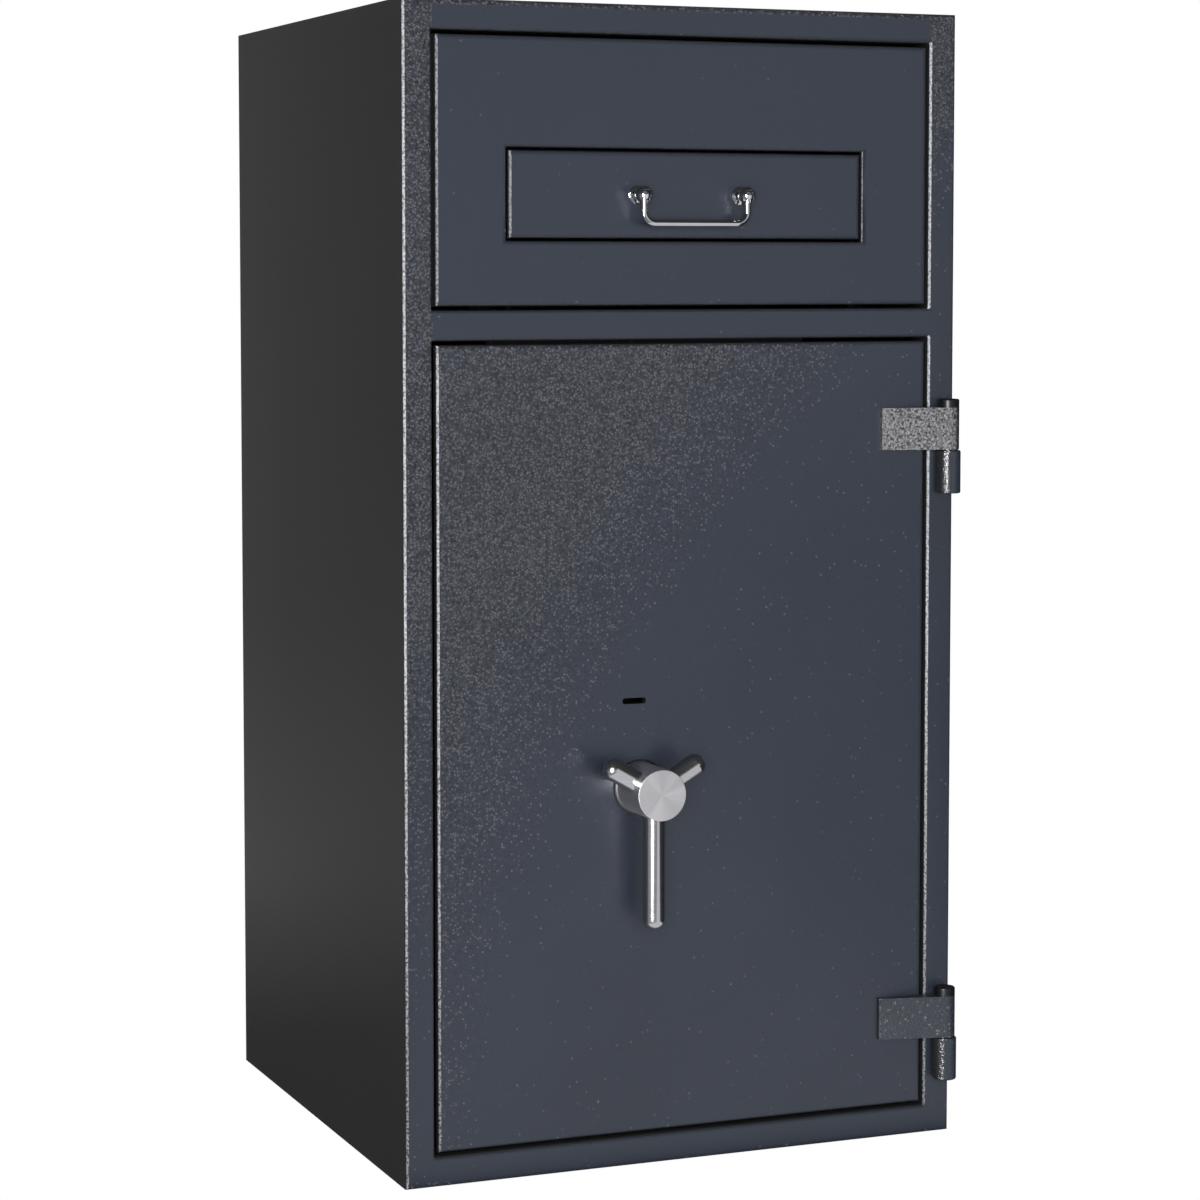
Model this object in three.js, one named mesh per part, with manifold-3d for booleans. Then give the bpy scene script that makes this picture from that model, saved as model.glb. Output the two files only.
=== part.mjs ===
// Drop safe with a deposit drawer, in millimetres, +Z up, its front towards -Y.
// Origin: the centre of the base's underside.
import * as THREE from 'three';
import { mergeVertices } from 'three/addons/utils/BufferGeometryUtils.js';
import Module from 'manifold-3d';

// Cabinet
const CABINET_WIDTH = 516;
const CABINET_DEPTH = 490;
const CABINET_HEIGHT = 1000;
const SHELL_SHEET = 5;
const FRAME_FACE = 26;
const FRAME_DEPTH = 30;
const FRAME_SHEET = 4;
const EDGE_RADIUS = 4;
const REVEAL = 3;
const ANCHOR_HOLE_RADIUS = 7;
const ANCHOR_HOLE_INSET = 90;

// Upper section with the drawer
const UPPER_OPENING_HEIGHT = 232;
const PANEL_SHEET = 6;
const PANEL_BRACKET_SHEET = 3;
const PANEL_BRACKET_LEG = 27;
const DIVIDER_SHEET = 4;
const DRAWER_FRONT_WIDTH = 328;
const DRAWER_FRONT_HEIGHT = 74;
const DRAWER_REVEAL = 2;
const DRAWER_DROP_BELOW_PANEL_CENTRE = 19;
const DRAWER_TRAVEL = 140;

// Tray, its slides and runners
const TRAY_SHEET = 2;
const TRAY_INSET = 7;
const TRAY_HEIGHT = 56;
const TRAY_DEPTH = 161;
const SLIDE_OVERRUN = 44;
const TRAY_FLOOR_RISE = 10;
const FIXED_FLOOR_DEPTH = 56;
const SLIDE_THICKNESS = 6;
const SLIDE_HEIGHT = 14;
const SLIDE_BELOW_TRAY_TOP = 4;
const RUNNER_SHEET = 2.5;
const RUNNER_LENGTH = 175;
const RUNNER_FOOT = 20;
const RUNNER_FRONT_GAP = 34;

// Drop floor that hangs open when the drawer is shut
const DROP_ANGLE = THREE.MathUtils.degToRad(36);
const DROP_FLOOR_LENGTH = 99;
const DROP_FLOOR_SHEET = 2;
const DROP_ROD_RADIUS = 3;
const DROP_LUG_REACH = 7.5;
const DROP_LUG_HALF_WIDTH = 7;
const FOLLOWER_RADIUS = 2.5;
const FOLLOWER_DISTANCE = 92;
const LIFT_RAIL_THICKNESS = 5;
const LIFT_RAIL_STEPS = 14;
const LIFT_RAIL_FRONT_GAP = 4;

// Chute through the divider
const CHUTE_WIDTH = 300;
const CHUTE_DEPTH = 200;
const CHUTE_LENGTH = 60;
const CHUTE_SHEET = 2;
const CHUTE_BEHIND_FRONT = 92;

// Drop pull on the drawer
const PULL_SPACING = 96;
const PULL_STANDOFF = 16;
const PULL_BALL_RADIUS = 7.5;
const PULL_ROSE_RADIUS = 8;
const PULL_ROSE_THICKNESS = 2.5;
const PULL_ROSE_EDGE = 1.2;
const PULL_ROSE_CROWN_RADIUS = 6;
const PULL_NECK_RADIUS = 3.5;
const BAIL_WIRE_RADIUS = 3;
const BAIL_DROP = 24;
const BAIL_CORNER_RADIUS = 10;
const BAIL_EYE_RADIUS = 4;
const BAIL_PIN_RADIUS = 1.5;

// Door
const DOOR_SHEET = 8;
const PAN_INSET = 22;
const PAN_BOTTOM_INSET = 16;
const PAN_DEPTH = 50;
const PAN_SHEET = 4;
const COVER_SHEET = 2;

// Lift-off hinges
const HINGE_POST_RADIUS = 10.5;
const HINGE_STANDOFF = 10;
const HINGE_INSET = 10;
const HINGE_POST_HEIGHT = 38;
const HINGE_BARREL_RADIUS = 9;
const HINGE_STRAP_HEIGHT = 37;
const HINGE_STRAP_REACH = 63;
const HINGE_STRAP_END_THICKNESS = 4;
const HINGE_PIN_RADIUS = 5;
const HINGE_PIN_RISE = 32;
const HINGE_COLLAR_RISE = 0.7;
const HINGE_COLLAR_RADIUS = 8;
const HINGE_CAP_HEIGHT = 7.5;
const HINGE_CAP_CHAMFER = 1.5;
const UPPER_HINGE_BELOW_DOOR_TOP = 135;
const LOWER_HINGE_ABOVE_DOOR_BOTTOM = 22;

// Handle
const SPINDLE_X = -45;
const SPINDLE_Z = 331;
const SPINDLE_RADIUS = 6;
const HUB_RADIUS = 22;
const HUB_FACE_STANDOFF = 50;
const HUB_CHAMFER = 0.6;
const SPOKE_STANDOFF = 31.5;
const SPOKE_RADIUS = 9.5;
const SPOKE_SEAT_RADIUS = 12;
const SPOKE_END_ROUNDING = 8.5;
const LONG_SPOKE_REACH = 118;
const SHORT_SPOKE_REACH = 52;
const SHORT_SPOKE_ANGLE = THREE.MathUtils.degToRad(30);
const ROSE_RADIUS = 24;
const ROSE_THICKNESS = 4;
const BEARING_RADIUS = 14;
const BEARING_FLANGE = 3;
const BEARING_NECK_RADIUS = 9;
const BEARING_NECK_LENGTH = 5;

// Rack-and-pinion boltwork
const GEAR_MODULE = 2;
const PINION_TEETH = 16;
const THROW_TEETH = 4;
const RACK_SPARE_TEETH = 2;
const PRESSURE_ANGLE = THREE.MathUtils.degToRad(20);
const PINION_DEDENDUM = 2.5;
const RACK_ADDENDUM = 1.7;
const RACK_DEDENDUM = 2.5;
const FLANK_RELIEF = 0.08;
const FLANK_STEPS = 5;
const RACK_THICKNESS = 8;
const RACK_LAYER_GAP = 4;
const RACK_BAR_HEIGHT = 12;
const RACK_BEHIND_DOOR_SHEET = 18;
const PINION_OVERHANG = 1;
const PINION_BOSS_RADIUS = 12;
const BOLT_RADIUS = 10;
const BOLT_LENGTH = 48;
const BOLT_CHAMFER = 1.5;
const BOLT_REST_INSET = 13;
const BOLT_BEHIND_FRONT = 42;
const SIDE_BOLT_SPACING = 221;
const THROW_BAR_WIDTH = 30;
const THROW_BAR_THICKNESS = 12;
const THROW_BAR_OVERHANG = 20;
const GUIDE_LENGTH = 18;
const GUIDE_WALL = 6;
const SIDE_GUIDE_FROM_THROW_BAR = 20;
const ROD_GUIDE_FROM_SPINDLE = 150;
const DEAD_BAR_THICKNESS = 16;
const DEAD_BAR_FRONT_GAP = 4;
const DEAD_BAR_ENGAGEMENT = 6.5;
const DEAD_BAR_END_INSET = 45;

// Key lock
const KEY_X = -50;
const KEY_Z = 406;
const KEY_SLOT_WIDTH = 22;
const KEY_SLOT_HEIGHT = 5;
const LOCK_CASE_WIDTH = 56;
const LOCK_CASE_ABOVE_KEY = 36;
const LOCK_CASE_BELOW_KEY = 24;
const LOCK_CASE_DEPTH = 17;
const LOCK_CASE_SHEET = 2;
const LOCK_CASE_SIDE_GAP = 1.5;
const LOCK_BOLT_ABOVE_KEY = 18;
const LOCK_BOLT_HEIGHT = 12;
const LOCK_BOLT_THICKNESS = 9;
const LOCK_BOLT_LENGTH = 36;
const LOCK_LUG_HEIGHT = 12;
const LOCK_END_GAP = 0.5;
const LOCK_TIP_GAP = 2;

// Clearances
const RUNNING_GAP = 0.3;
const SLIDING_GAP = 0.4;
const PASS_THROUGH = 1;
const ROUND_SIDES = 28;
const SMALL_ROUND_SIDES = 16;
const BALL_STEPS = 9;
const CORNER_STEPS = 4;
const SPOKE_END_STEPS = 6;
const BAIL_STEPS = 40;
const BAIL_SECTION_SEGMENTS = 5;

// Places worked out from the sizes. Y is counted from the front face inside the face group.
const halfWidth = CABINET_WIDTH / 2;
const openingSide = halfWidth - FRAME_FACE;
const upperOpeningTop = CABINET_HEIGHT - FRAME_FACE;
const upperOpeningBottom = upperOpeningTop - UPPER_OPENING_HEIGHT;
const doorOpeningTop = upperOpeningBottom - FRAME_FACE;
const doorOpeningBottom = FRAME_FACE;
const shellTop = CABINET_HEIGHT - SHELL_SHEET;
const innerSide = halfWidth - SHELL_SHEET;
const backPlateFront = CABINET_DEPTH - SHELL_SHEET;

const doorSide = openingSide - REVEAL;
const doorTop = doorOpeningTop - REVEAL;
const doorBottom = doorOpeningBottom + REVEAL;
const panSide = doorSide - PAN_INSET;
const panTop = doorTop - PAN_BOTTOM_INSET;
const panBottom = doorBottom + PAN_BOTTOM_INSET;
const panBack = DOOR_SHEET + PAN_DEPTH;

const panelTop = upperOpeningTop - REVEAL;
const panelBottom = upperOpeningBottom + REVEAL;
const drawerZ = (panelTop + panelBottom) / 2 - DRAWER_DROP_BELOW_PANEL_CENTRE;
const drawerSide = DRAWER_FRONT_WIDTH / 2;
const drawerHalfHeight = DRAWER_FRONT_HEIGHT / 2;
const traySide = drawerSide - TRAY_INSET;
const trayBottom = drawerZ - drawerHalfHeight + TRAY_FLOOR_RISE;
const trayTop = trayBottom + TRAY_HEIGHT;
const dividerTop = upperOpeningBottom;

const pitchRadius = (GEAR_MODULE * PINION_TEETH) / 2;
const gearPitch = Math.PI * GEAR_MODULE;
const throwTravel = THROW_TEETH * gearPitch;
const frontRackStart = DOOR_SHEET + RACK_BEHIND_DOOR_SHEET;
const frontRackEnd = frontRackStart + RACK_THICKNESS;
const rearRackStart = frontRackEnd + RACK_LAYER_GAP;
const rearRackEnd = rearRackStart + RACK_THICKNESS;

// Colours as photographed, and plain metal inside
const paint = new THREE.MeshStandardMaterial({ color: '#43464e', roughness: 0.55, metalness: 0.35 });
const brushedSteel = new THREE.MeshStandardMaterial({ color: '#b2b2b4', roughness: 0.35, metalness: 1 });
const chrome = new THREE.MeshStandardMaterial({ color: '#d9dadd', roughness: 0.08, metalness: 1 });
const zincPlate = new THREE.MeshStandardMaterial({ color: '#9ea2a6', roughness: 0.4, metalness: 0.9 });
const turnedSteel = new THREE.MeshStandardMaterial({ color: '#c2c4c6', roughness: 0.25, metalness: 1 });
const bronze = new THREE.MeshStandardMaterial({ color: '#a37a45', roughness: 0.4, metalness: 1 });
const blackPlastic = new THREE.MeshStandardMaterial({ color: '#0c0c0d', roughness: 0.6, metalness: 0 });

const wasm = await Module();
wasm.setup();

// A closed geometry as a solid that can be cut and joined
function solidOf(geometry) {
  const bare = geometry.clone();
  bare.deleteAttribute('normal');
  bare.deleteAttribute('uv');
  const merged = mergeVertices(bare);
  const triangles = [];
  for (let i = 0; i < merged.index.count; i += 3) {
    const [a, b, c] = merged.index.array.slice(i, i + 3);
    if (a !== b && b !== c && c !== a) triangles.push(a, b, c);
  }
  return new wasm.Manifold(new wasm.Mesh({
    numProp: 3,
    vertProperties: new Float32Array(merged.attributes.position.array),
    triVerts: new Uint32Array(triangles),
  }));
}

function geometryOf(solid) {
  const mesh = solid.getMesh();
  const geometry = new THREE.BufferGeometry();
  geometry.setAttribute('position', new THREE.BufferAttribute(mesh.vertProperties, 3));
  geometry.setIndex(new THREE.BufferAttribute(mesh.triVerts, 1));
  geometry.computeVertexNormals();
  return geometry;
}

function cut(geometry, ...cutters) {
  return geometryOf(cutters.reduce((rest, cutter) => rest.subtract(solidOf(cutter)), solidOf(geometry)));
}

function join(geometry, ...others) {
  return geometryOf(others.reduce((whole, other) => whole.add(solidOf(other)), solidOf(geometry)));
}

function common(geometry, other) {
  return geometryOf(solidOf(geometry).intersect(solidOf(other)));
}

// A box between two limits on each axis
function slab([x0, x1], [y0, y1], [z0, z1]) {
  const geometry = new THREE.BoxGeometry(x1 - x0, y1 - y0, z1 - z0);
  return geometry.translate((x0 + x1) / 2, (y0 + y1) / 2, (z0 + z1) / 2);
}

// Two limits in rising order, for pieces mirrored left and right
function span(a, b) {
  return [Math.min(a, b), Math.max(a, b)];
}

// A drawn outline pushed along one axis: 'x' reads it as (y, z), 'y' as (x, z) and 'z' as (x, y)
function prism(outline, axis, from, to, curveSegments = CORNER_STEPS) {
  const settings = { depth: to - from, bevelEnabled: false, curveSegments };
  const geometry = new THREE.ExtrudeGeometry(outline, settings);
  if (axis === 'x') return geometry.rotateX(Math.PI / 2).rotateZ(Math.PI / 2).translate(from, 0, 0);
  if (axis === 'y') return geometry.rotateX(Math.PI / 2).translate(0, to, 0);
  return geometry.translate(0, 0, from);
}

// A round bar between two places on an axis through a point
function rod(axis, radius, from, to, [x, y, z], sides = ROUND_SIDES) {
  const geometry = new THREE.CylinderGeometry(radius, radius, to - from, sides);
  const middle = (from + to) / 2;
  if (axis === 'x') geometry.rotateZ(Math.PI / 2).translate(middle, y, z);
  if (axis === 'y') geometry.translate(x, middle, z);
  if (axis === 'z') geometry.rotateX(Math.PI / 2).translate(x, y, middle);
  return geometry;
}

// A profile of [radius, height] points, closed or ending on the axis, turned about the Y axis
function turned(points, sides = ROUND_SIDES) {
  const profile = points.map(([radius, height]) => new THREE.Vector2(radius, height));
  if (THREE.ShapeUtils.isClockWise(profile)) profile.reverse();
  return new THREE.LatheGeometry(profile, sides);
}

// The same profile turned about an upright axis through a point
function turnedUpright(points, [x, y, z], sides = ROUND_SIDES) {
  return turned(points, sides).rotateX(Math.PI / 2).translate(x, y, z);
}

// Insets of a quarter-round edge: at each depth from the face, how far the outline stands in
function quarterRound(radius) {
  const steps = [];
  for (let i = 0; i <= CORNER_STEPS; i += 1) {
    const angle = (i / CORNER_STEPS) * (Math.PI / 2);
    steps.push({ depth: radius * (1 - Math.cos(angle)), inset: radius * (1 - Math.sin(angle)) });
  }
  return steps;
}

// Rectangles in XZ at rising depths, skinned into one closed body
function rectangleLoft(sections) {
  const positions = [];
  for (const { y, x0, x1, z0, z1 } of sections) positions.push(x0, y, z0, x1, y, z0, x1, y, z1, x0, y, z1);
  const index = [0, 1, 2, 0, 2, 3];
  for (let s = 0; s + 1 < sections.length; s += 1) {
    for (let side = 0; side < 4; side += 1) {
      const a = s * 4 + side;
      const b = s * 4 + ((side + 1) % 4);
      index.push(a, a + 4, b, b, a + 4, b + 4);
    }
  }
  const last = (sections.length - 1) * 4;
  index.push(last, last + 2, last + 1, last, last + 3, last + 2);
  const geometry = new THREE.BufferGeometry();
  geometry.setAttribute('position', new THREE.Float32BufferAttribute(positions, 3));
  geometry.setIndex(index);
  return geometry;
}

// A plate whose front edges are rounded
function roundedPlate([x0, x1], [z0, z1], thickness, radius = EDGE_RADIUS) {
  const sections = quarterRound(radius).map(({ depth, inset }) => ({
    y: depth, x0: x0 + inset, x1: x1 - inset, z0: z0 + inset, z1: z1 - inset,
  }));
  sections.push({ y: thickness, x0, x1, z0, z1 });
  return rectangleLoft(sections);
}

// The space of an opening whose front edges are rounded, as a cutter
function flaredOpening([x0, x1], [z0, z1], thickness, radius = EDGE_RADIUS) {
  const flare = quarterRound(radius).map(({ depth, inset }) => ({
    y: depth, x0: x0 - inset, x1: x1 + inset, z0: z0 - inset, z1: z1 + inset,
  }));
  return rectangleLoft([{ ...flare[0], y: -PASS_THROUGH }, ...flare,
    { y: thickness + PASS_THROUGH, x0, x1, z0, z1 }]);
}

function outlineOf(points) {
  return new THREE.Shape(points.map(([u, v]) => new THREE.Vector2(u, v)));
}

function piece(group, name, geometry, material) {
  const mesh = new THREE.Mesh(geometry, material);
  mesh.name = name;
  group.add(mesh);
  return mesh;
}

const safe = new THREE.Group();
const face = new THREE.Group();
face.position.y = -CABINET_DEPTH / 2;
safe.add(face);

// Cabinet: plates and a front frame of formed channels, all trimmed by one rounded outer form
const cabinet = new THREE.Group();
face.add(cabinet);
const outerForm = roundedPlate([-halfWidth, halfWidth], [0, CABINET_HEIGHT], CABINET_DEPTH);
const openingWidth = [-openingSide, openingSide];
const upperOpening = flaredOpening(openingWidth, [upperOpeningBottom, upperOpeningTop], FRAME_DEPTH);
const doorOpening = flaredOpening(openingWidth, [doorOpeningBottom, doorOpeningTop], FRAME_DEPTH);

function frameMember(name, [x0, x1], [z0, z1], hollowX, hollowZ) {
  const bar = slab([x0, x1], [0, FRAME_DEPTH], [z0, z1]);
  const hollow = slab(hollowX, [FRAME_SHEET, FRAME_DEPTH + PASS_THROUGH], hollowZ);
  piece(cabinet, name, common(cut(bar, hollow, upperOpening, doorOpening), outerForm), paint);
}

function stile(name, side) {
  const x = span(side * halfWidth, side * openingSide);
  frameMember(name, x, [SHELL_SHEET, shellTop],
    [x[0] + FRAME_SHEET, x[1] - FRAME_SHEET], [SHELL_SHEET - PASS_THROUGH, shellTop + PASS_THROUGH]);
}

function rail(name, bottom, top) {
  frameMember(name, openingWidth, [bottom, top],
    [-openingSide - PASS_THROUGH, openingSide + PASS_THROUGH], [bottom + FRAME_SHEET, top - FRAME_SHEET]);
}

stile('left_stile', -1);
stile('right_stile', 1);
rail('top_rail', upperOpeningTop, shellTop);
rail('middle_rail', doorOpeningTop, upperOpeningBottom);
rail('bottom_rail', SHELL_SHEET, doorOpeningBottom);

function sideWall(name, side) {
  const x = span(side * halfWidth, side * innerSide);
  piece(cabinet, name, slab(x, [FRAME_DEPTH, backPlateFront], [SHELL_SHEET, shellTop]), paint);
}

sideWall('left_wall', -1);
sideWall('right_wall', 1);
const fullWidth = [-halfWidth, halfWidth];
piece(cabinet, 'back_plate',
  slab(fullWidth, [backPlateFront, CABINET_DEPTH], [SHELL_SHEET, shellTop]), paint);

const topSlab = slab(fullWidth, [0, CABINET_DEPTH], [shellTop, CABINET_HEIGHT]);
piece(cabinet, 'top_plate', common(topSlab, outerForm), paint);

const baseSlab = slab(fullWidth, [0, CABINET_DEPTH], [0, SHELL_SHEET]);
const anchorHoles = [];
for (const x of [-1, 1]) {
  for (const y of [ANCHOR_HOLE_INSET, CABINET_DEPTH - ANCHOR_HOLE_INSET]) {
    const place = [x * (halfWidth - ANCHOR_HOLE_INSET), y, 0];
    anchorHoles.push(rod('z', ANCHOR_HOLE_RADIUS, -PASS_THROUGH, SHELL_SHEET + PASS_THROUGH, place));
  }
}
piece(cabinet, 'base_plate', cut(common(baseSlab, outerForm), ...anchorHoles), paint);

// Divider between the deposit compartment and the vault, with the drop chute under its cut-out
const chuteX = [-CHUTE_WIDTH / 2, CHUTE_WIDTH / 2];
const chuteY = [CHUTE_BEHIND_FRONT, CHUTE_BEHIND_FRONT + CHUTE_DEPTH];
const dividerBottom = dividerTop - DIVIDER_SHEET;
const dividerSlab = slab([-innerSide, innerSide], [FRAME_DEPTH, backPlateFront],
  [dividerBottom, dividerTop]);
const dropCut = slab(chuteX, chuteY, [dividerBottom - PASS_THROUGH, dividerTop + PASS_THROUGH]);
piece(cabinet, 'vault_divider', cut(dividerSlab, dropCut), paint);

const chuteOuter = slab([chuteX[0] - CHUTE_SHEET, chuteX[1] + CHUTE_SHEET],
  [chuteY[0] - CHUTE_SHEET, chuteY[1] + CHUTE_SHEET], [dividerBottom - CHUTE_LENGTH, dividerBottom]);
const chuteInner = slab(chuteX, chuteY,
  [dividerBottom - CHUTE_LENGTH - PASS_THROUGH, dividerBottom + PASS_THROUGH]);
piece(cabinet, 'drop_chute', cut(chuteOuter, chuteInner), paint);

// Fixed upper panel round the drawer, held to the stiles by two angles
const panelCutOut = flaredOpening([-drawerSide - DRAWER_REVEAL, drawerSide + DRAWER_REVEAL],
  [drawerZ - drawerHalfHeight - DRAWER_REVEAL, drawerZ + drawerHalfHeight + DRAWER_REVEAL], PANEL_SHEET);
const panelPlate = roundedPlate([-doorSide, doorSide], [panelBottom, panelTop], PANEL_SHEET);
piece(cabinet, 'upper_panel', cut(panelPlate, panelCutOut), paint);

function panelBracket(name, side) {
  const outline = outlineOf([
    [side * openingSide, PANEL_SHEET],
    [side * (openingSide - PANEL_BRACKET_LEG), PANEL_SHEET],
    [side * (openingSide - PANEL_BRACKET_LEG), PANEL_SHEET + PANEL_BRACKET_SHEET],
    [side * (openingSide - PANEL_BRACKET_SHEET), PANEL_SHEET + PANEL_BRACKET_SHEET],
    [side * (openingSide - PANEL_BRACKET_SHEET), FRAME_DEPTH],
    [side * openingSide, FRAME_DEPTH],
  ]);
  piece(cabinet, name, prism(outline, 'z', panelBottom, panelTop), paint);
}

panelBracket('left_panel_bracket', -1);
panelBracket('right_panel_bracket', 1);

// Runners: a channel for the slide, on a web that stands on the divider
const slideTop = trayTop - SLIDE_BELOW_TRAY_TOP;
const slideBottom = slideTop - SLIDE_HEIGHT;
const slideOuter = traySide + SLIDE_THICKNESS;
const webInner = slideOuter + SLIDING_GAP;
const webOuter = webInner + RUNNER_SHEET;
const runnerY = [PANEL_SHEET + RUNNER_FRONT_GAP, PANEL_SHEET + RUNNER_FRONT_GAP + RUNNER_LENGTH];

function runner(name, side) {
  const lipInner = traySide + SLIDING_GAP;
  const lipTop = slideTop + SLIDING_GAP;
  const lipBottom = slideBottom - SLIDING_GAP;
  const outline = outlineOf([
    [lipInner, lipTop], [webInner, lipTop], [webInner, lipBottom], [lipInner, lipBottom],
    [lipInner, lipBottom - RUNNER_SHEET], [webInner, lipBottom - RUNNER_SHEET], [webInner, dividerTop],
    [webOuter + RUNNER_FOOT, dividerTop], [webOuter + RUNNER_FOOT, dividerTop + RUNNER_SHEET],
    [webOuter, dividerTop + RUNNER_SHEET], [webOuter, lipTop + RUNNER_SHEET],
    [lipInner, lipTop + RUNNER_SHEET],
  ].map(([x, z]) => [side * x, z]));
  piece(cabinet, name, prism(outline, 'y', ...runnerY), paint);
}

runner('left_runner', -1);
runner('right_runner', 1);

// Drop floor: its rod turns in the tray, and two followers climb the lift rails as the drawer comes out
const dropRodY = PANEL_SHEET + FIXED_FLOOR_DEPTH + DROP_ROD_RADIUS + PASS_THROUGH;
const dropRodZ = trayBottom - FOLLOWER_RADIUS - RUNNING_GAP;

function followerPlace(travel) {
  const angle = DROP_ANGLE * (1 - travel / DRAWER_TRAVEL);
  return new THREE.Vector2(
    dropRodY - travel + FOLLOWER_DISTANCE * Math.cos(angle),
    dropRodZ - FOLLOWER_DISTANCE * Math.sin(angle),
  );
}

// The rail's upper edge lies one follower radius and a gap below the follower's path,
// and runs one step past it
function liftRailOutline() {
  const reach = FOLLOWER_RADIUS + RUNNING_GAP;
  const edge = [];
  for (let i = -1; i <= LIFT_RAIL_STEPS; i += 1) {
    const travel = (DRAWER_TRAVEL * i) / LIFT_RAIL_STEPS;
    const step = DRAWER_TRAVEL / LIFT_RAIL_STEPS / 4;
    const along = followerPlace(travel + step).sub(followerPlace(travel - step)).normalize();
    const place = followerPlace(travel);
    edge.push([place.x - along.y * reach, place.y + along.x * reach]);
  }
  const [rearY] = edge[0];
  const [, topZ] = edge[edge.length - 1];
  const frontY = PANEL_SHEET + LIFT_RAIL_FRONT_GAP;
  return outlineOf([[rearY, dividerTop], ...edge, [frontY, topZ], [frontY, dividerTop]]);
}

function liftRail(name, side) {
  const x = span(side * webInner, side * (webInner - LIFT_RAIL_THICKNESS));
  piece(cabinet, name, prism(liftRailOutline(), 'x', ...x), blackPlastic);
}

liftRail('left_lift_rail', -1);
liftRail('right_lift_rail', 1);

// Drawer: front, folded tray, slides and the drop pull
const drawer = new THREE.Group();
face.add(drawer);
const drawerFrontPlate = roundedPlate([-drawerSide, drawerSide],
  [drawerZ - drawerHalfHeight, drawerZ + drawerHalfHeight], PANEL_SHEET);
piece(drawer, 'drawer_front', drawerFrontPlate, paint);

const trayBack = PANEL_SHEET + TRAY_DEPTH;
const fixedFloorBack = PANEL_SHEET + FIXED_FLOOR_DEPTH;
const trayForm = slab([-traySide, traySide], [PANEL_SHEET, trayBack], [trayBottom - TRAY_SHEET, trayTop]);
const trayInside = slab([-traySide + TRAY_SHEET, traySide - TRAY_SHEET],
  [PANEL_SHEET + TRAY_SHEET, trayBack - TRAY_SHEET], [trayBottom, trayTop + PASS_THROUGH]);
const dropMouth = slab([-traySide - PASS_THROUGH, traySide + PASS_THROUGH],
  [fixedFloorBack, trayBack + PASS_THROUGH], [trayBottom - TRAY_SHEET - PASS_THROUGH, trayBottom]);
const trayLugs = [-1, 1].map((side) => slab(
  span(side * traySide, side * (traySide - TRAY_SHEET)),
  [dropRodY - DROP_LUG_HALF_WIDTH, dropRodY + DROP_LUG_HALF_WIDTH],
  [trayBottom - DROP_LUG_REACH, trayBottom + PASS_THROUGH],
));
const rodHole = rod('x', DROP_ROD_RADIUS + RUNNING_GAP, -drawerSide, drawerSide,
  [0, dropRodY, dropRodZ], SMALL_ROUND_SIDES);
const trayShell = join(cut(trayForm, trayInside, dropMouth), ...trayLugs);
piece(drawer, 'drawer_tray', cut(trayShell, rodHole), zincPlate);

function slide(name, side) {
  const x = span(side * traySide, side * slideOuter);
  piece(drawer, name, slab(x, [PANEL_SHEET, trayBack + SLIDE_OVERRUN], [slideBottom, slideTop]),
    turnedSteel);
}

slide('left_slide', -1);
slide('right_slide', 1);

// Pull posts: a rose, a neck and a ball slotted for the bail, with the pin that the bail hangs on
function pullPost(name, side) {
  const neckEnd = PULL_STANDOFF - Math.sqrt(PULL_BALL_RADIUS ** 2 - PULL_NECK_RADIUS ** 2);
  const profile = [[0, 0], [PULL_ROSE_RADIUS, 0], [PULL_ROSE_RADIUS, -PULL_ROSE_EDGE],
    [PULL_ROSE_CROWN_RADIUS, -PULL_ROSE_THICKNESS], [PULL_NECK_RADIUS, -PULL_ROSE_THICKNESS],
    [PULL_NECK_RADIUS, -neckEnd]];
  const start = Math.asin(PULL_NECK_RADIUS / PULL_BALL_RADIUS);
  for (let i = 1; i < BALL_STEPS; i += 1) {
    const angle = start + ((Math.PI - start) * i) / BALL_STEPS;
    const depth = -PULL_STANDOFF + PULL_BALL_RADIUS * Math.cos(angle);
    profile.push([PULL_BALL_RADIUS * Math.sin(angle), depth]);
  }
  profile.push([0, -PULL_STANDOFF - PULL_BALL_RADIUS]);
  const x = (side * PULL_SPACING) / 2;
  const post = turned(profile).translate(x, 0, drawerZ);
  const slotHalf = BAIL_WIRE_RADIUS + RUNNING_GAP;
  const eyeRoom = BAIL_EYE_RADIUS + RUNNING_GAP;
  const ballEnd = PULL_BALL_RADIUS + PASS_THROUGH;
  const slot = slab([x - slotHalf, x + slotHalf], [-PULL_STANDOFF - ballEnd, -PULL_STANDOFF + eyeRoom],
    [drawerZ - ballEnd, drawerZ + eyeRoom]);
  const pinEnd = slotHalf + PASS_THROUGH;
  const pin = rod('x', BAIL_PIN_RADIUS, x - pinEnd, x + pinEnd, [0, -PULL_STANDOFF, drawerZ],
    SMALL_ROUND_SIDES);
  piece(drawer, name, join(cut(post, slot), pin), chrome);
}

pullPost('left_pull_post', -1);
pullPost('right_pull_post', 1);

const bail = new THREE.Group();
bail.position.set(0, -PULL_STANDOFF, drawerZ);
drawer.add(bail);

class BailPath extends THREE.CurvePath {
  constructor() {
    super();
    const half = PULL_SPACING / 2;
    const corner = BAIL_CORNER_RADIUS;
    const legEnd = -BAIL_DROP + corner;
    const point = (x, z) => new THREE.Vector3(x, 0, z);
    this.add(new THREE.LineCurve3(point(-half, 0), point(-half, legEnd)));
    this.add(new THREE.QuadraticBezierCurve3(point(-half, legEnd), point(-half, -BAIL_DROP),
      point(-half + corner, -BAIL_DROP)));
    this.add(new THREE.LineCurve3(point(-half + corner, -BAIL_DROP), point(half - corner, -BAIL_DROP)));
    this.add(new THREE.QuadraticBezierCurve3(point(half - corner, -BAIL_DROP), point(half, -BAIL_DROP),
      point(half, legEnd)));
    this.add(new THREE.LineCurve3(point(half, legEnd), point(half, 0)));
  }
}

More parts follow.
